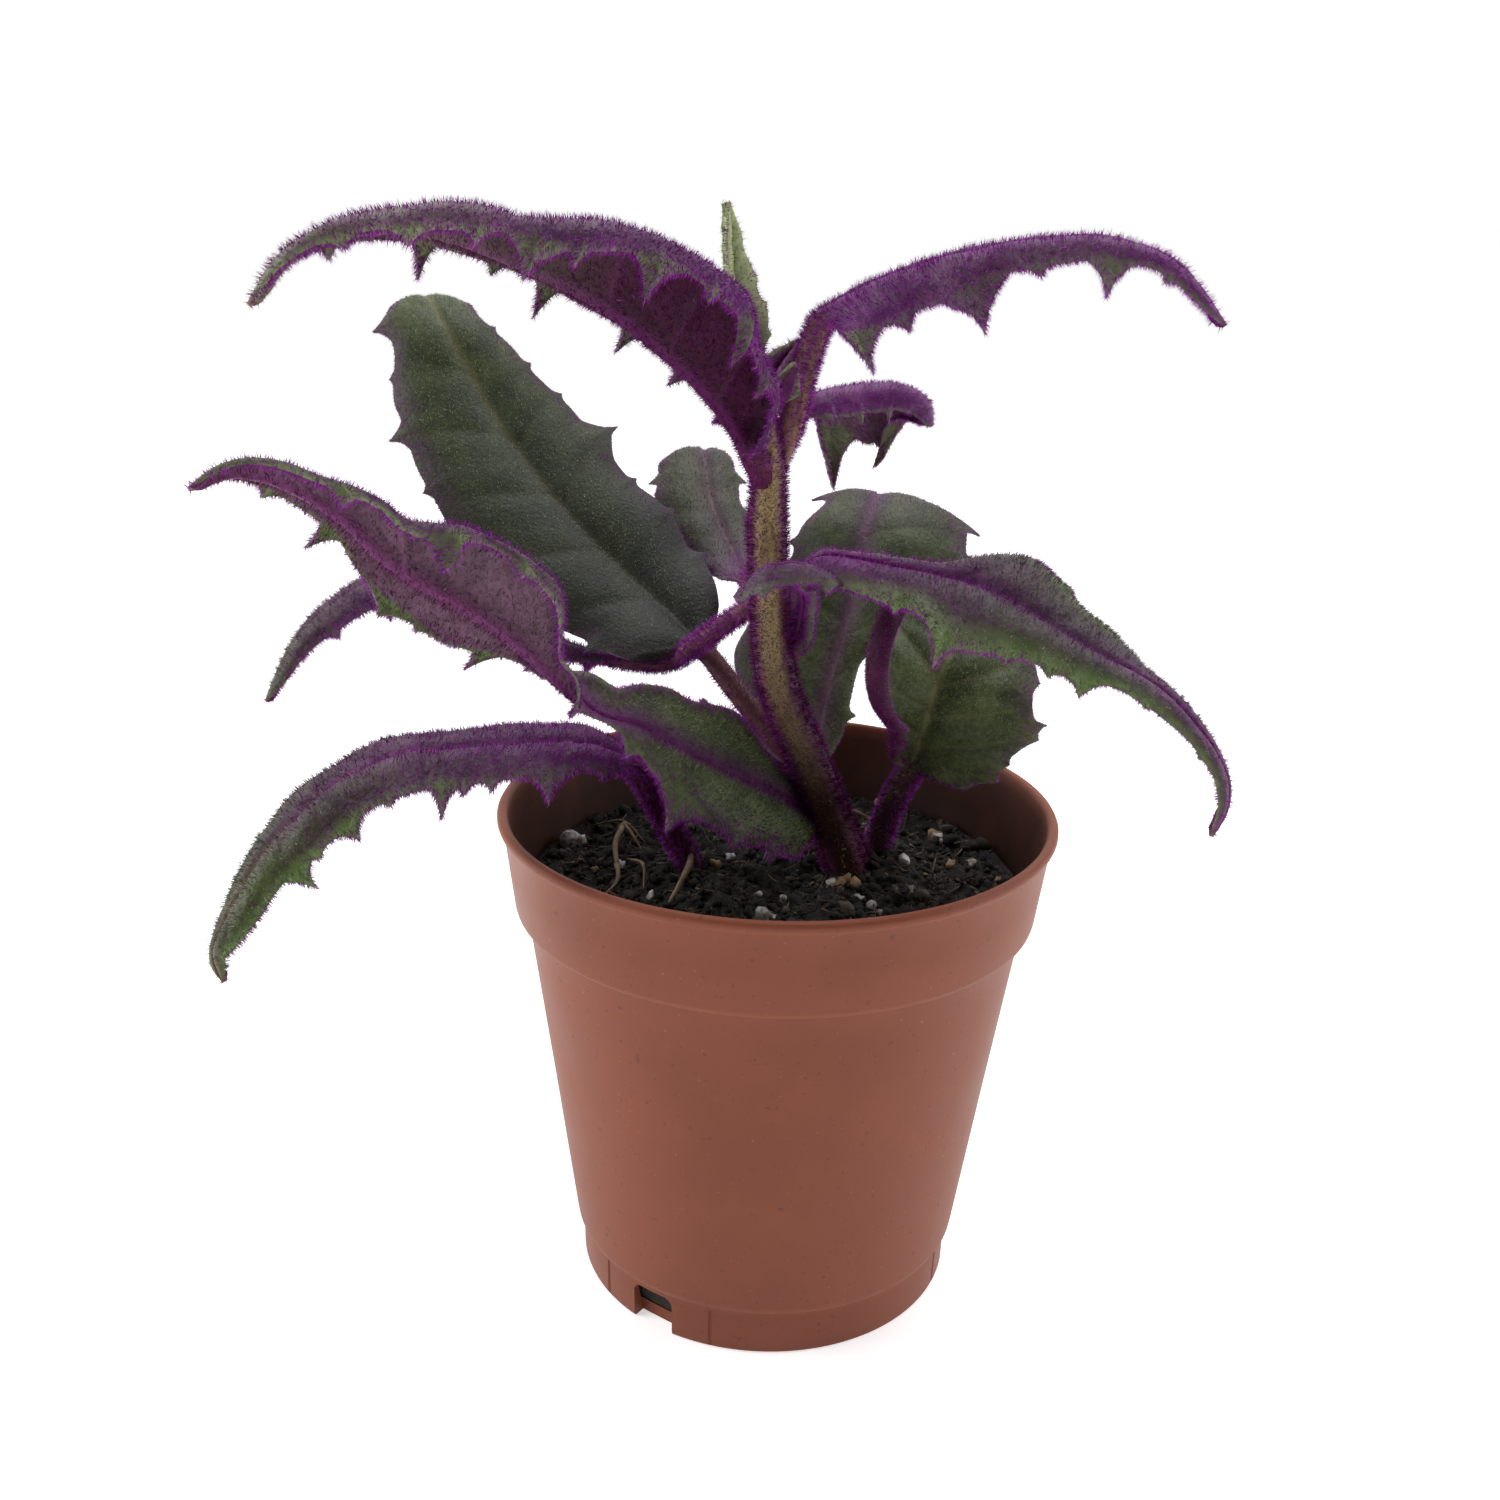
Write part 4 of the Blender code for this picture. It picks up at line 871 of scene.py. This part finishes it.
def leaf_skin():
    """The shared finish of a blade: mottling, and its fine pimples as a height."""
    group = bpy.data.node_groups.new("leaf_skin", "ShaderNodeTree")
    for socket, way, kind in (("Dark", "INPUT", "Color"), ("Light", "INPUT", "Color"),
                              ("Colour", "OUTPUT", "Color"), ("Height", "OUTPUT", "Float")):
        group.interface.new_socket(socket, in_out=way, socket_type="NodeSocket" + kind)
    n = Nodes(group)
    entry = n.add("NodeGroupInput")
    speck = n.noise(2200.0, 3.0)
    patch = n.maths("ADD", n.maths("MULTIPLY", n.noise(260.0, 5.0), 0.55), n.maths("MULTIPLY", speck, 0.45))
    colour = n.mix(n.ramp(patch, 0.4, 0.62), entry.outputs["Dark"], entry.outputs["Light"])
    grain = n.maths("MULTIPLY", n.noise(4200.0, 2.0), 0.4)
    height = n.maths("ADD", n.maths("MULTIPLY", speck, 0.6), grain)
    n.add("NodeGroupOutput", {"Colour": colour, "Height": height})
    return group


skin_group = leaf_skin()
VEIN_VIOLET, YOUNG_GREEN = (0.16, 0.018, 0.14), (0.26, 0.31, 0.15)
STALK_MAROON, STALK_OLIVE = (0.1, 0.014, 0.045), (0.24, 0.13, 0.07)


def leaf_material(name, dark, light, violet_dark, violet_light, vein_colour, fresh_colour, vein_share,
                  **sockets):
    """The skin of one side of the leaves: green or maroon to violet, with veins, border and stalk, multiplied
    by painted light and shade.
    """
    made, n = new_material(name, **sockets)
    plain = n.add("ShaderNodeGroup", {"Dark": dark, "Light": light}, node_tree=skin_group)
    violet = n.add("ShaderNodeGroup", {"Dark": violet_dark, "Light": violet_light}, node_tree=skin_group)
    flush, fresh = n.attribute("flush"), n.attribute("fresh")
    tone = n.mix(n.ramp(flush, 0.1, 0.9), plain.outputs["Colour"], violet.outputs["Colour"])
    lines = n.maths("MAXIMUM", n.attribute("rib"), n.maths("MULTIPLY", n.attribute("vein"), 0.45))
    vein_tone = n.mix(n.ramp(flush, 0.2, 0.6), vein_colour, VEIN_VIOLET)
    tone = n.mix(n.ramp(lines, 0.15, 1.0, 0.0, vein_share), tone, vein_tone)
    border = n.maths("MULTIPLY", n.ramp(n.attribute("margin"), 0.1, 0.9), fresh)
    tone = n.mix(n.attribute("young"), n.mix(border, tone, fresh_colour), YOUNG_GREEN)
    # painted light and shade along each leaf: the colour is multiplied by it
    tone = n.mix(1.0, tone, n.attribute("painted_light", "Color"), "MULTIPLY")
    stalk_tone = n.mix(fresh, STALK_MAROON, STALK_OLIVE)
    n.colour(n.mix(n.ramp(n.attribute("stalk"), 0.2, 1.0, 0.0, 0.85), tone, stalk_tone))
    n.bump(plain.outputs["Height"], 0.7, 0.0002)
    return made


leaf_top = leaf_material("leaf_top", dark=(0.028, 0.037, 0.012), light=(0.085, 0.104, 0.038),
                         violet_dark=(0.08, 0.01, 0.085), violet_light=(0.14, 0.026, 0.145),
                         vein_colour=(0.2, 0.18, 0.085), fresh_colour=(0.13, 0.19, 0.06), vein_share=0.8,
                         Roughness=0.5, Specular_IOR_Level=0.3, Sheen_Weight=0.06, Sheen_Roughness=0.35,
                         Sheen_Tint=(0.8, 0.8, 0.85))
leaf_under = leaf_material("leaf_under", dark=(0.1, 0.05, 0.08), light=(0.165, 0.09, 0.135),
                           violet_dark=(0.035, 0.003, 0.02), violet_light=(0.06, 0.006, 0.034),
                           vein_colour=(0.12, 0.018, 0.055), fresh_colour=(0.11, 0.15, 0.05), vein_share=0.6,
                           Roughness=0.55, Specular_IOR_Level=0.2, Sheen_Weight=0.05, Sheen_Roughness=0.4,
                           Sheen_Tint=(0.7, 0.3, 1.0))

# the long upper left leaf, whose underside shows and whose near margin rolls over its ridge
grow_leaf("blade_top_left", "leaf_top_left", seed=1, blade=0.12, stalk=(1.5, 1.35), foot=8.0, hook=5.0,
          route=[(-2, 0, 84), (-2.3, -0.5, 89.5), (-5, -3.6, 95.2), (-8, -8, 99.8), (-12, -13, 104.2),
                 (-17, -19, 108.5), (-23.5, -24, 112.1), (-29.5, -29, 114.4), (-34.5, -34, 114.3),
                 (-38, -38, 112.5), (-40.5, -40, 109)],
          face=[(0.3, 0.85, 0.6), (0.3, 0.9, 0.5), (0.2, 0.85, 0.5), (0.1, 0.5, 0.9), (-0.3, 0.1, 0.95),
                (-0.6, 0, 0.7)],
          left=[2, 8, 12.3, 11.8, 8.6, 5.6, 1.7], right=[1, 1, 1, 1.3, 1.8, 2, 1],
          fold=([20, 20, 15, 5, 0], [20, 10, 0, -10, 0]), roll=([175, 180, 175, 150, 90], [60, 80, 90, 80]),
          teeth_left=[(0.06, 3.6, 1.8), (0.12, 1.2, 0.8), (0.18, 1.8, 0.9), (0.3, 4.6, 2), (0.39, 1.2, 0.7),
                      (0.47, 4.2, 1.9), (0.57, 1.4, 0.8), (0.63, 3.6, 2.2), (0.71, 1.2, 1.2),
                      (0.8, 1.4, 1.6), (0.89, 1, 1.2)],
          teeth_right=[(0.1, 1, 0.8), (0.23, 1.6, 0.8), (0.36, 2.2, 0.9), (0.52, 3, 1), (0.6, 1, 0.7),
                       (0.71, 3, 1), (0.85, 1, 0.8)],
          half=28, jag=0.86, rim=0.4, flush_top=[1, 1.1, 1.1, 0.95, 0.5], flush_under=[1, 1, 1, 0.9, 0.3],
          fresh=[0, 0.8, 0.9, 1], young=[0, 0, 0, 0.12, 0.35, 0.4], painted_light=[0.9, 0.9, 0.9, 1, 1], deep=0.2,
          hair_length=0.72, hair_density=20.0)
# the long upper right leaf, which arches over and has hanging teeth
grow_leaf("blade_top_right", "leaf_top_right", seed=2, blade=0.32, stalk=(1.3, 1.15), foot=9.0, hook=1.2,
          route=[(-2, 0.3, 86), (-0.9, 0.9, 92), (0.5, 1, 97.5), (1.6, 0, 102.5), (2.6, -1, 105.5),
                 (4.6, -2, 107.9), (10, -4, 110.6), (15, -6, 112.4), (22, -9, 114), (28, -11, 114.3),
                 (33.5, -13, 112.5), (38, -15, 107.5)],
          face=[(-0.5, -0.1, 0.8), (-0.3, -0.1, 1), (0, -0.1, 1), (0.3, -0.1, 0.9)],
          left=[1.5, 3, 4, 3.5, 3, 2, 1], right=[5, 6.5, 6, 3.8, 3, 2, 1], roll=[90, 100, 110, 80],
          teeth_left=[(0.25, 1), (0.4, 1), (0.55, 1), (0.7, 1), (0.85, 0.8)],
          teeth_right=[(0.115, 4, 3), (0.24, 1.5, 1.2), (0.36, 1), (0.425, 4.5, 2.8), (0.555, 0.9),
                       (0.72, 3.2, 2), (0.85, 0.6)],
          rim=0.6, flush_top=[1, 0.85, 0.65, 0.45, 0.45, 0.35], flush_under=[1, 1, 0.9, 0.7],
          fresh=[1, 0.3, 0.4, 0.6], blush=0.6, painted_light=[1.1, 1, 1.1, 1.2, 1.1], deep=0.15, hair_length=0.75,
          hair_density=28.0)
# the small folded leaf that stands at the tip of the shoot
grow_leaf("blade_top_young", "leaf_top_young", seed=3, blade=0.25, stalk=(0.9, 0.8),
          route=[(-2.5, 0, 97), (-3, 0.5, 101), (-4, 0.4, 103.4), (-5.6, 0, 107), (-6.2, -1, 111.5),
                 (-6.5, -2, 116.5)],
          face=[(0.6, -0.6, 0.1), (0.6, -0.6, 0.1)],
          left=[1, 2.6, 2.2, 1.2, 0.3], right=[1, 2.6, 2.2, 1.2, 0.3], fold=45, roll=40,
          teeth_left=[(0.2, 0.6), (0.4, 0.5), (0.6, 0.4)], teeth_right=[(0.1, 0.6), (0.3, 0.5), (0.5, 0.4)],
          half=8, along=90, flush_top=[0.9, 0.5, 0.3, 0.2], flush_under=[0.8, 0.4, 0.2, 0.1], fresh=1.0,
          young=[0.3, 0.8, 1, 1], painted_light=[1.2, 1.5, 1.5], glinting=0.7)
# the small leaf behind the stem at the right, with two long drooping teeth
grow_leaf("blade_back_small", "leaf_back_small", seed=4, blade=0.36, stalk=(1.0, 0.9), hook=1.1,
          route=[(-2, 0.5, 86.5), (-1.5, 2, 90.5), (0, 6, 93.5), (2, 9, 97), (6, 11, 98), (11.5, 12, 98.2),
                 (14.4, 11.6, 96.8), (15, 11, 94.2)],
          face=[(-0.3, 0.3, 0.9), (0, 0.2, 1), (0.3, 0.2, 1), (0.9, 0, 0.5)],
          left=[1.5, 2.5, 8, 12, 10, 4], right=[2, 4.4, 4.6, 4.4, 3.8, 2], roll=(95, [130, 130, 140]),
          teeth_left=[(0.4, 7.5, 2.6), (0.82, 4.4, 2.4)],
          teeth_right=[(0.12, 1, 0.6), (0.42, 1.5, 0.6), (0.62, 1.5, 0.6), (0.9, 1)],
          along=130, rim=0.5, quilt=0.2, flush_top=[1, 1, 0.9, 0.8], flush_under=[0.5, 0.35, 0.3, 0.5],
          fresh=0.7, painted_light=[1, 1.1, 1.1], deep=0.3)
# the broad leaf at the left, whose upper side is seen flat on
grow_leaf("blade_left_broad", "leaf_left_broad", seed=5, blade=0.2, stalk=(1.3, 1.1),
          route=[(2.5, 3, 58), (-4, 6, 64.5), (-10.3, 10, 71), (-17.4, 14.5, 76.1), (-23.7, 18, 81),
                 (-29.6, 22, 86.6), (-33.6, 25, 91.3), (-37.3, 28, 96.3), (-40.8, 31, 101.4),
                 (-43.4, 35, 104), (-45.8, 39.5, 103.4)],
          face=[(0.45, -0.75, 0.5), (0.4, -0.8, 0.5), (0.35, -0.8, 0.5), (0.1, -0.75, 0.7), (0, 0, 1)],
          left=[6.5, 9.4, 12, 12.3, 11.4, 9.6, 6.3, 3.2], right=[2.5, 7.2, 9.4, 9.3, 9, 6.4, 4.8, 3.6],
          fold=[12, 8, 0], roll=[25, 30, 40],
          teeth_left=[(0.02, 2.5, 3), (0.15, 1.5), (0.3, 1), (0.42, 1), (0.55, 0.8), (0.67, 2.2, 1.6),
                      (0.78, 0.7), (0.88, 1.8, 1.8)],
          teeth_right=[(0.17, 1.6, 1.8), (0.27, 0.8), (0.38, 0.8), (0.505, 3.6, 3), (0.62, 0.7), (0.7, 0.8),
                       (0.8, 0.7), (0.9, 0.6)],
          half=22, quilt=0.4, flush_top=[0.15, 0.05, 0.0, 0.0, 0.1], flush_under=[0.9, 0.8, 0.7, 0.5],
          # painted shade darkens this leaf towards its foot, and its shine patches are painted sheen
          fresh=0.25, painted_light=[0.08, 0.18, 0.36, 0.64, 1.05], glinting=0.35,
          shine=[(0.04, 0.45, 1.0), (0.2, 0.6, 0.9), (0.4, 0.15, 0.5), (0.95, 0, 0.3)], hair_length=0.36,
          hair_width=0.06, hair_density=30.0)
# the long leaf that rises in front at the left and twists half way
grow_leaf("blade_front_left", "leaf_front_left", seed=6, blade=0.04, stalk=(1.2, 1.1), hook=5.5,
          route=[(6.5, 4, 49.5), (0.5, -2, 56.5), (-8.5, -8, 63), (-14, -12, 67.5), (-17.5, -15, 69.5),
                 (-20.5, -18, 73.5), (-26, -22, 80), (-32, -26, 85), (-34.5, -29, 88), (-36.5, -32, 91.5),
                 (-38.5, -35, 94), (-41, -38, 96), (-43.5, -40, 96.5), (-45.5, -42, 95.5)],
          face=[(0.3, -0.6, 0.7), (0.3, -0.6, 0.7), (0.3, -0.6, 0.7), (0.3, -0.6, 0.7), (0.4, -0.65, 0.5),
                (0.5, -0.7, 0.1), (0.4, 0.8, 0.4), (0.2, 0.95, 0.2), (0.1, 1, 0), (0.1, 1, 0.05),
                (0.05, 0.8, 0.3), (0, 0.65, 0.7), (-0.1, 0.5, 0.9)],
          left=[5, 7, 8.5, 5, 0.5, 2.4, 9.5, 8.5, 5, 3, 1.5],
          right=[0.8, 3, 6.5, 5, 3, 2.5, 5, 3.6, 2, 2, 1], fold=[10, 20, 10, 10],
          roll=([50, 60, 60, 190, 190, 120], [40, 40, 60, 60]),
          teeth_left=[(0.02, 1), (0.12, 1.2), (0.19, 1), (0.275, 4.5, 3), (0.36, 1.6, 1.2), (0.46, 2, 1.6),
                      (0.625, 1.4, 1), (0.735, 3.6, 1.9), (0.86, 1.8, 1.3)],
          teeth_right=[(0.25, 0.8), (0.56, 2.5, 1.1), (0.66, 0.6), (0.7, 1.6, 2.4), (0.81, 2.6, 1.2),
                       (0.9, 1)],
          half=26, along=220, jag=0.82, rim=0.6, quilt=0.55, flush_top=[0.05, 0.05, 0.1, 0.4, 0.5, 0.35],
          flush_under=[0.9, 0.8, 0.5, 0.25, 0.3, 0.25], fresh=[0.4, 0.5, 0.6, 1, 1, 0.9], blush=0.65,
          # painted light lightens this leaf, and its shine patches are painted sheen
          painted_light=[1.35, 1.2, 1.1, 1.25, 1.15, 1.15], glinting=0.25,
          shine=[(0.12, 0.6, 0.5), (0.24, 0.5, 0.6), (0.36, 0.5, 0.4)], hair_length=0.7)
# the leaf at the left that shows between the others
grow_leaf("blade_left_hidden", "leaf_left_hidden", seed=7, blade=0.3, stalk=(1.0, 0.9),
          route=[(-1, 3, 78), (-8.5, 6, 71.5), (-13, 8, 68), (-25, 10, 69.5), (-34.5, 10, 75), (-42, 8, 77),
                 (-47.5, 4, 75), (-51, 0, 71.5), (-53.5, -4, 66)],
          face=[(0.2, 0.2, 0.9), (0, 0, 1), (-0.6, 0, 0.8)],
          left=[1.5, 5, 5, 4, 1.5], right=[1.5, 5, 5, 4, 1.5], roll=[100, 110, 100],
          teeth_left=[(0.2, 2), (0.35, 2), (0.5, 2), (0.65, 2), (0.8, 1)],
          teeth_right=[(0.1, 2), (0.3, 2), (0.5, 2), (0.7, 2), (0.85, 1)],
          half=14, along=130, quilt=0.3, flush_top=[0.6, 0.6, 0.5, 0.25], flush_under=[0.9, 0.8, 0.8, 0.6],
          hair_length=0.75, hair_density=24.0)
# the leaf behind the stem at the left
grow_leaf("blade_back_left", "leaf_back_left", seed=8, blade=0.3, stalk=(1.0, 0.9),
          route=[(-1.5, 1.5, 73), (-3.6, 12.5, 75.2), (-6, 21, 77.5), (-9, 28.5, 82), (-10, 33.5, 85),
                 (-10.5, 38, 86.5), (-10.5, 42, 85.5)],
          face=[(0.2, -0.8, 0.5), (0.2, -0.8, 0.6), (0, -0.3, 0.8)],
          left=[2, 5, 7, 6, 3], right=[2, 4, 4, 4, 2], roll=[50, 60, 60],
          teeth_left=[(0.2, 2), (0.45, 2), (0.7, 1.5)], teeth_right=[(0.15, 2), (0.45, 2), (0.7, 1.5)],
          half=14, along=120, quilt=0.3, flush_top=[0.7, 0.2, 0.15, 0.3], flush_under=[1, 0.9, 0.8],
          blush=0.25, painted_light=[0.65, 0.6, 0.7], hair_length=0.45)
# the large leaf behind the stem at the right
grow_leaf("blade_back_right", "leaf_back_right", seed=9, blade=0.15, stalk=(1.2, 1.1),
          route=[(3.5, 2.5, 49.5), (4, 12, 56), (5.5, 18, 63.5), (8, 24, 71.5), (9.5, 30, 79.5),
                 (11, 36, 82), (12, 42, 80.5)],
          face=[(-0.2, -0.85, 0.45), (-0.2, -0.85, 0.45), (-0.1, -0.8, 0.5), (0, -0.3, 0.8)],
          left=[2, 9, 12.5, 11, 8, 6, 3], right=[1, 3, 3, 8, 13, 12, 5], fold=[10, 5], roll=[30, 40, 40],
          teeth_left=[(0.2, 1.5), (0.45, 1.5), (0.66, 1.2), (0.86, 2.6, 1.4), (0.95, 2, 1)],
          teeth_right=[(0.2, 1), (0.45, 1.5), (0.68, 1.6), (0.85, 2, 1.2), (0.95, 2, 1)],
          along=140, quilt=0.4, flush_top=[0.12, 0.05, 0.1, 0.35], flush_under=[0.9, 0.8, 0.7], fresh=0.3,
          blush=0.4, painted_light=[1.15, 1.05, 0.7, 0.62], hair_length=0.4, hair_width=0.06, hair_density=20.0)
# the long right leaf, which droops at its end
grow_leaf("blade_right_long", "leaf_right_long", seed=10, blade=0.03, stalk=(1.2, 1.1),
          route=[(-0.5, 0.8, 69), (1.7, 0.4, 74), (2.2, -1, 77.5), (1.8, -2.8, 81), (3.5, -4.2, 83.2),
                 (10.5, -6.5, 83), (19, -11.5, 82.3), (27.5, -18.5, 79), (34.6, -24.5, 76),
                 (39, -28.5, 70.8), (39.2, -30, 68), (38, -31, 65.5)],
          face=[(-0.6, -0.9, 0.4), (-0.2, -0.5, 1), (0, -0.5, 1), (0.2, -0.5, 0.9), (0.5, -0.4, 0.8),
                (0.8, -0.2, 0.5)],
          left=[1.8, 1.2, 0.8, 1.8, 7.8, 5.3, 2.4, 1.5, 1],
          right=[2.2, 1.6, 4.2, 5.2, 8.2, 4.6, 2.8, 1.7, 1], fold=[20, 20, 15, 5],
          roll=([40, 60, 60, 70, 70], [30, 80, 95, 95, 80]),
          teeth_left=[(0.3, 0.8), (0.42, 1.2), (0.55, 1.2), (0.7, 1), (0.85, 0.8)],
          teeth_right=[(0.24, 0.8), (0.36, 0.8), (0.47, 3, 2.4), (0.58, 0.6), (0.64, 0.7), (0.69, 1.8, 1.6),
                       (0.78, 0.3), (0.88, 0.3)],
          half=22, along=190, rim=3.4, quilt=0.5, flush_top=[1, 0.8, 0.5, 0.3, 0.35, 0.3],
          flush_under=[1, 0.9, 0.9, 0.7], fresh=[0.7, 1, 1, 1, 0.8], blush=0.3,
          painted_light=[1.0, 1.0, 0.9, 0.9, 1.2], hair_length=0.66, hair_density=22.0)
# the lobe at that leaf's foot, which curls across the front of the stem
grow_leaf("lobe_right_long", "leaf_right_long", seed=11, blade=0.02, stalk=(0.7, 0.7),
          route=[(7.5, -4.2, 80.5), (4.5, -5.5, 82), (1.5, -6.3, 82.8), (-2, -6.5, 82.3), (-5, -6, 79.2)],
          face=[(0, 0.1, 1), (-0.2, 0, 1), (-0.6, 0, 0.8)],
          left=[2, 3.6, 4, 2], right=[1, 1.6, 1.6, 1], fold=5, roll=60,
          teeth_left=[(0.12, 1.4, 0.8), (0.3, 1, 0.7), (0.75, 1)], teeth_right=[(0.5, 0.8)],
          half=12, along=80, rim=0.8, flush_top=[0.8, 0.45, 0.3], flush_under=[1, 1, 0.9], fresh=0.6,
          blush=0.4, painted_light=0.9, hair_length=0.5)
# the broad short leaf at the right, on its own stalk from the soil, with one side curled over
grow_leaf("blade_right_front", "leaf_right_front", seed=12, blade=0.46, stalk=(1.3, 1.2), hook=2.6,
          route=[(11, 7.2, 44), (11.3, 6.7, 47), (12.5, 4, 53.5), (14.5, 1, 60), (15.5, -1, 65.5),
                 (16, -2, 69.5), (17.5, 0, 72.5), (18.5, 4, 74)],
          face=[(-0.1, -0.8, 0.6), (0, -0.8, 0.7), (0, -0.4, 0.9)],
          left=[3, 6, 8, 13.5, 13.5, 6], right=[5, 9, 11.6, 9.4, 4.5], fold=[20, 12],
          roll=([-230, -220, -180, -100], 30),
          teeth_left=[(0.1, 0.8), (0.25, 0.8), (0.45, 0.8), (0.7, 0.8), (0.85, 1)],
          teeth_right=[(0.08, 0.8), (0.2, 0.8), (0.3, 0.5), (0.42, 0.8), (0.55, 1), (0.75, 0.6)],
          half=24, along=130, quilt=1.1, veins=5, vein_slope=0.3, flush_top=[0.2, 0.05, 0.05, 0.1],
          # painted light lightens this leaf near its stalk and painted shade darkens its tip; the shine
          # patches are painted sheen
          flush_under=[1, 1, 0.9], fresh=[0.8, 0.2, 0.2, 0.25], painted_light=[1.5, 1.3, 0.75], glinting=0.5,
          shine=[(0.15, -0.4, 0.6), (0.35, -0.3, 0.6), (0.5, 0.5, 0.4)], hair_length=0.4, hair_width=0.055,
          hair_density=28.0)
# the low left leaf, on its own stalk from the soil, which droops over the pot's rim
grow_leaf("blade_low_left", "leaf_low_left", seed=13, blade=0.25, stalk=(1.3, 1.1),
          route=[(-8.2, 0.4, 43.8), (-9, 0, 46.5), (-12.5, -2, 54.5), (-15.3, -6, 61), (-19, -9, 64.2),
                 (-24, -13, 65.6), (-30, -19, 67), (-34.5, -23, 67.8), (-39, -28, 67), (-42, -32, 65),
                 (-45, -35, 61.5), (-47, -38, 57.5), (-48, -39, 54.5), (-47, -40, 52.5)],
          face=[(0.1, -0.3, 1), (0, -0.4, 1), (-0.4, -0.4, 0.9), (-0.7, -0.4, 0.6)],
          left=[2.5, 3.6, 4.2, 4.6, 5, 4.5, 3.4, 1.2], right=[4, 5.5, 5.5, 5, 5.5, 5, 3, 1.2],
          fold=[12, 8, 5], roll=[80, 90, 90, 80],
          teeth_left=[(0.1, 0.8), (0.235, 2.8, 2.8), (0.36, 1, 0.8), (0.41, 1, 0.8), (0.46, 3, 1.9),
                      (0.585, 0.6), (0.68, 1.7, 1.6), (0.74, 0.6), (0.785, 2.4, 1.6)],
          teeth_right=[(0.15, 1.5), (0.3, 1.5), (0.45, 1.5), (0.6, 1.5), (0.75, 1)],
          half=22, jag=0.7, rim=1.1, quilt=1.0, flush_top=[0.9, 0.8, 0.6, 0.5, 0.3, 0.05, 0.0],
          flush_under=[0.9, 0.9, 0.7, 0.4], fresh=[0.3, 0.6, 1, 1], blush=0.25, painted_light=[0.95, 1.0, 1.1, 1.1],
          deep=0.15, hair_length=0.72, hair_density=22.0)
# two tiny bud leaves fold over the stem's top
BUDS = (([(-2.2, -0.6, 97), (-0.6, -2.4, 99.5), (0.2, -3.4, 102)], (-0.3, 0.8, 0.4)),
        ([(-2.6, 1.0, 97.5), (-1.6, 2.8, 100.5), (0.6, 3.6, 103.5)], (-0.2, -0.8, 0.4)))
for number, (route, face) in enumerate(BUDS):
    grow_leaf("bud_leaf_%d" % number, None, seed=20 + number, blade=0.1, stalk=(0.6, 0.6), route=route,
              face=[face, face], left=[0.8, 1.6, 0.4], right=[0.8, 1.6, 0.4], fold=20, roll=30,
              teeth_left=[(0.4, 0.6)], teeth_right=[(0.6, 0.6)], half=5, along=40, flush_top=[1, 0.7, 0.3],
              flush_under=[1, 0.8, 0.4], fresh=1.0)
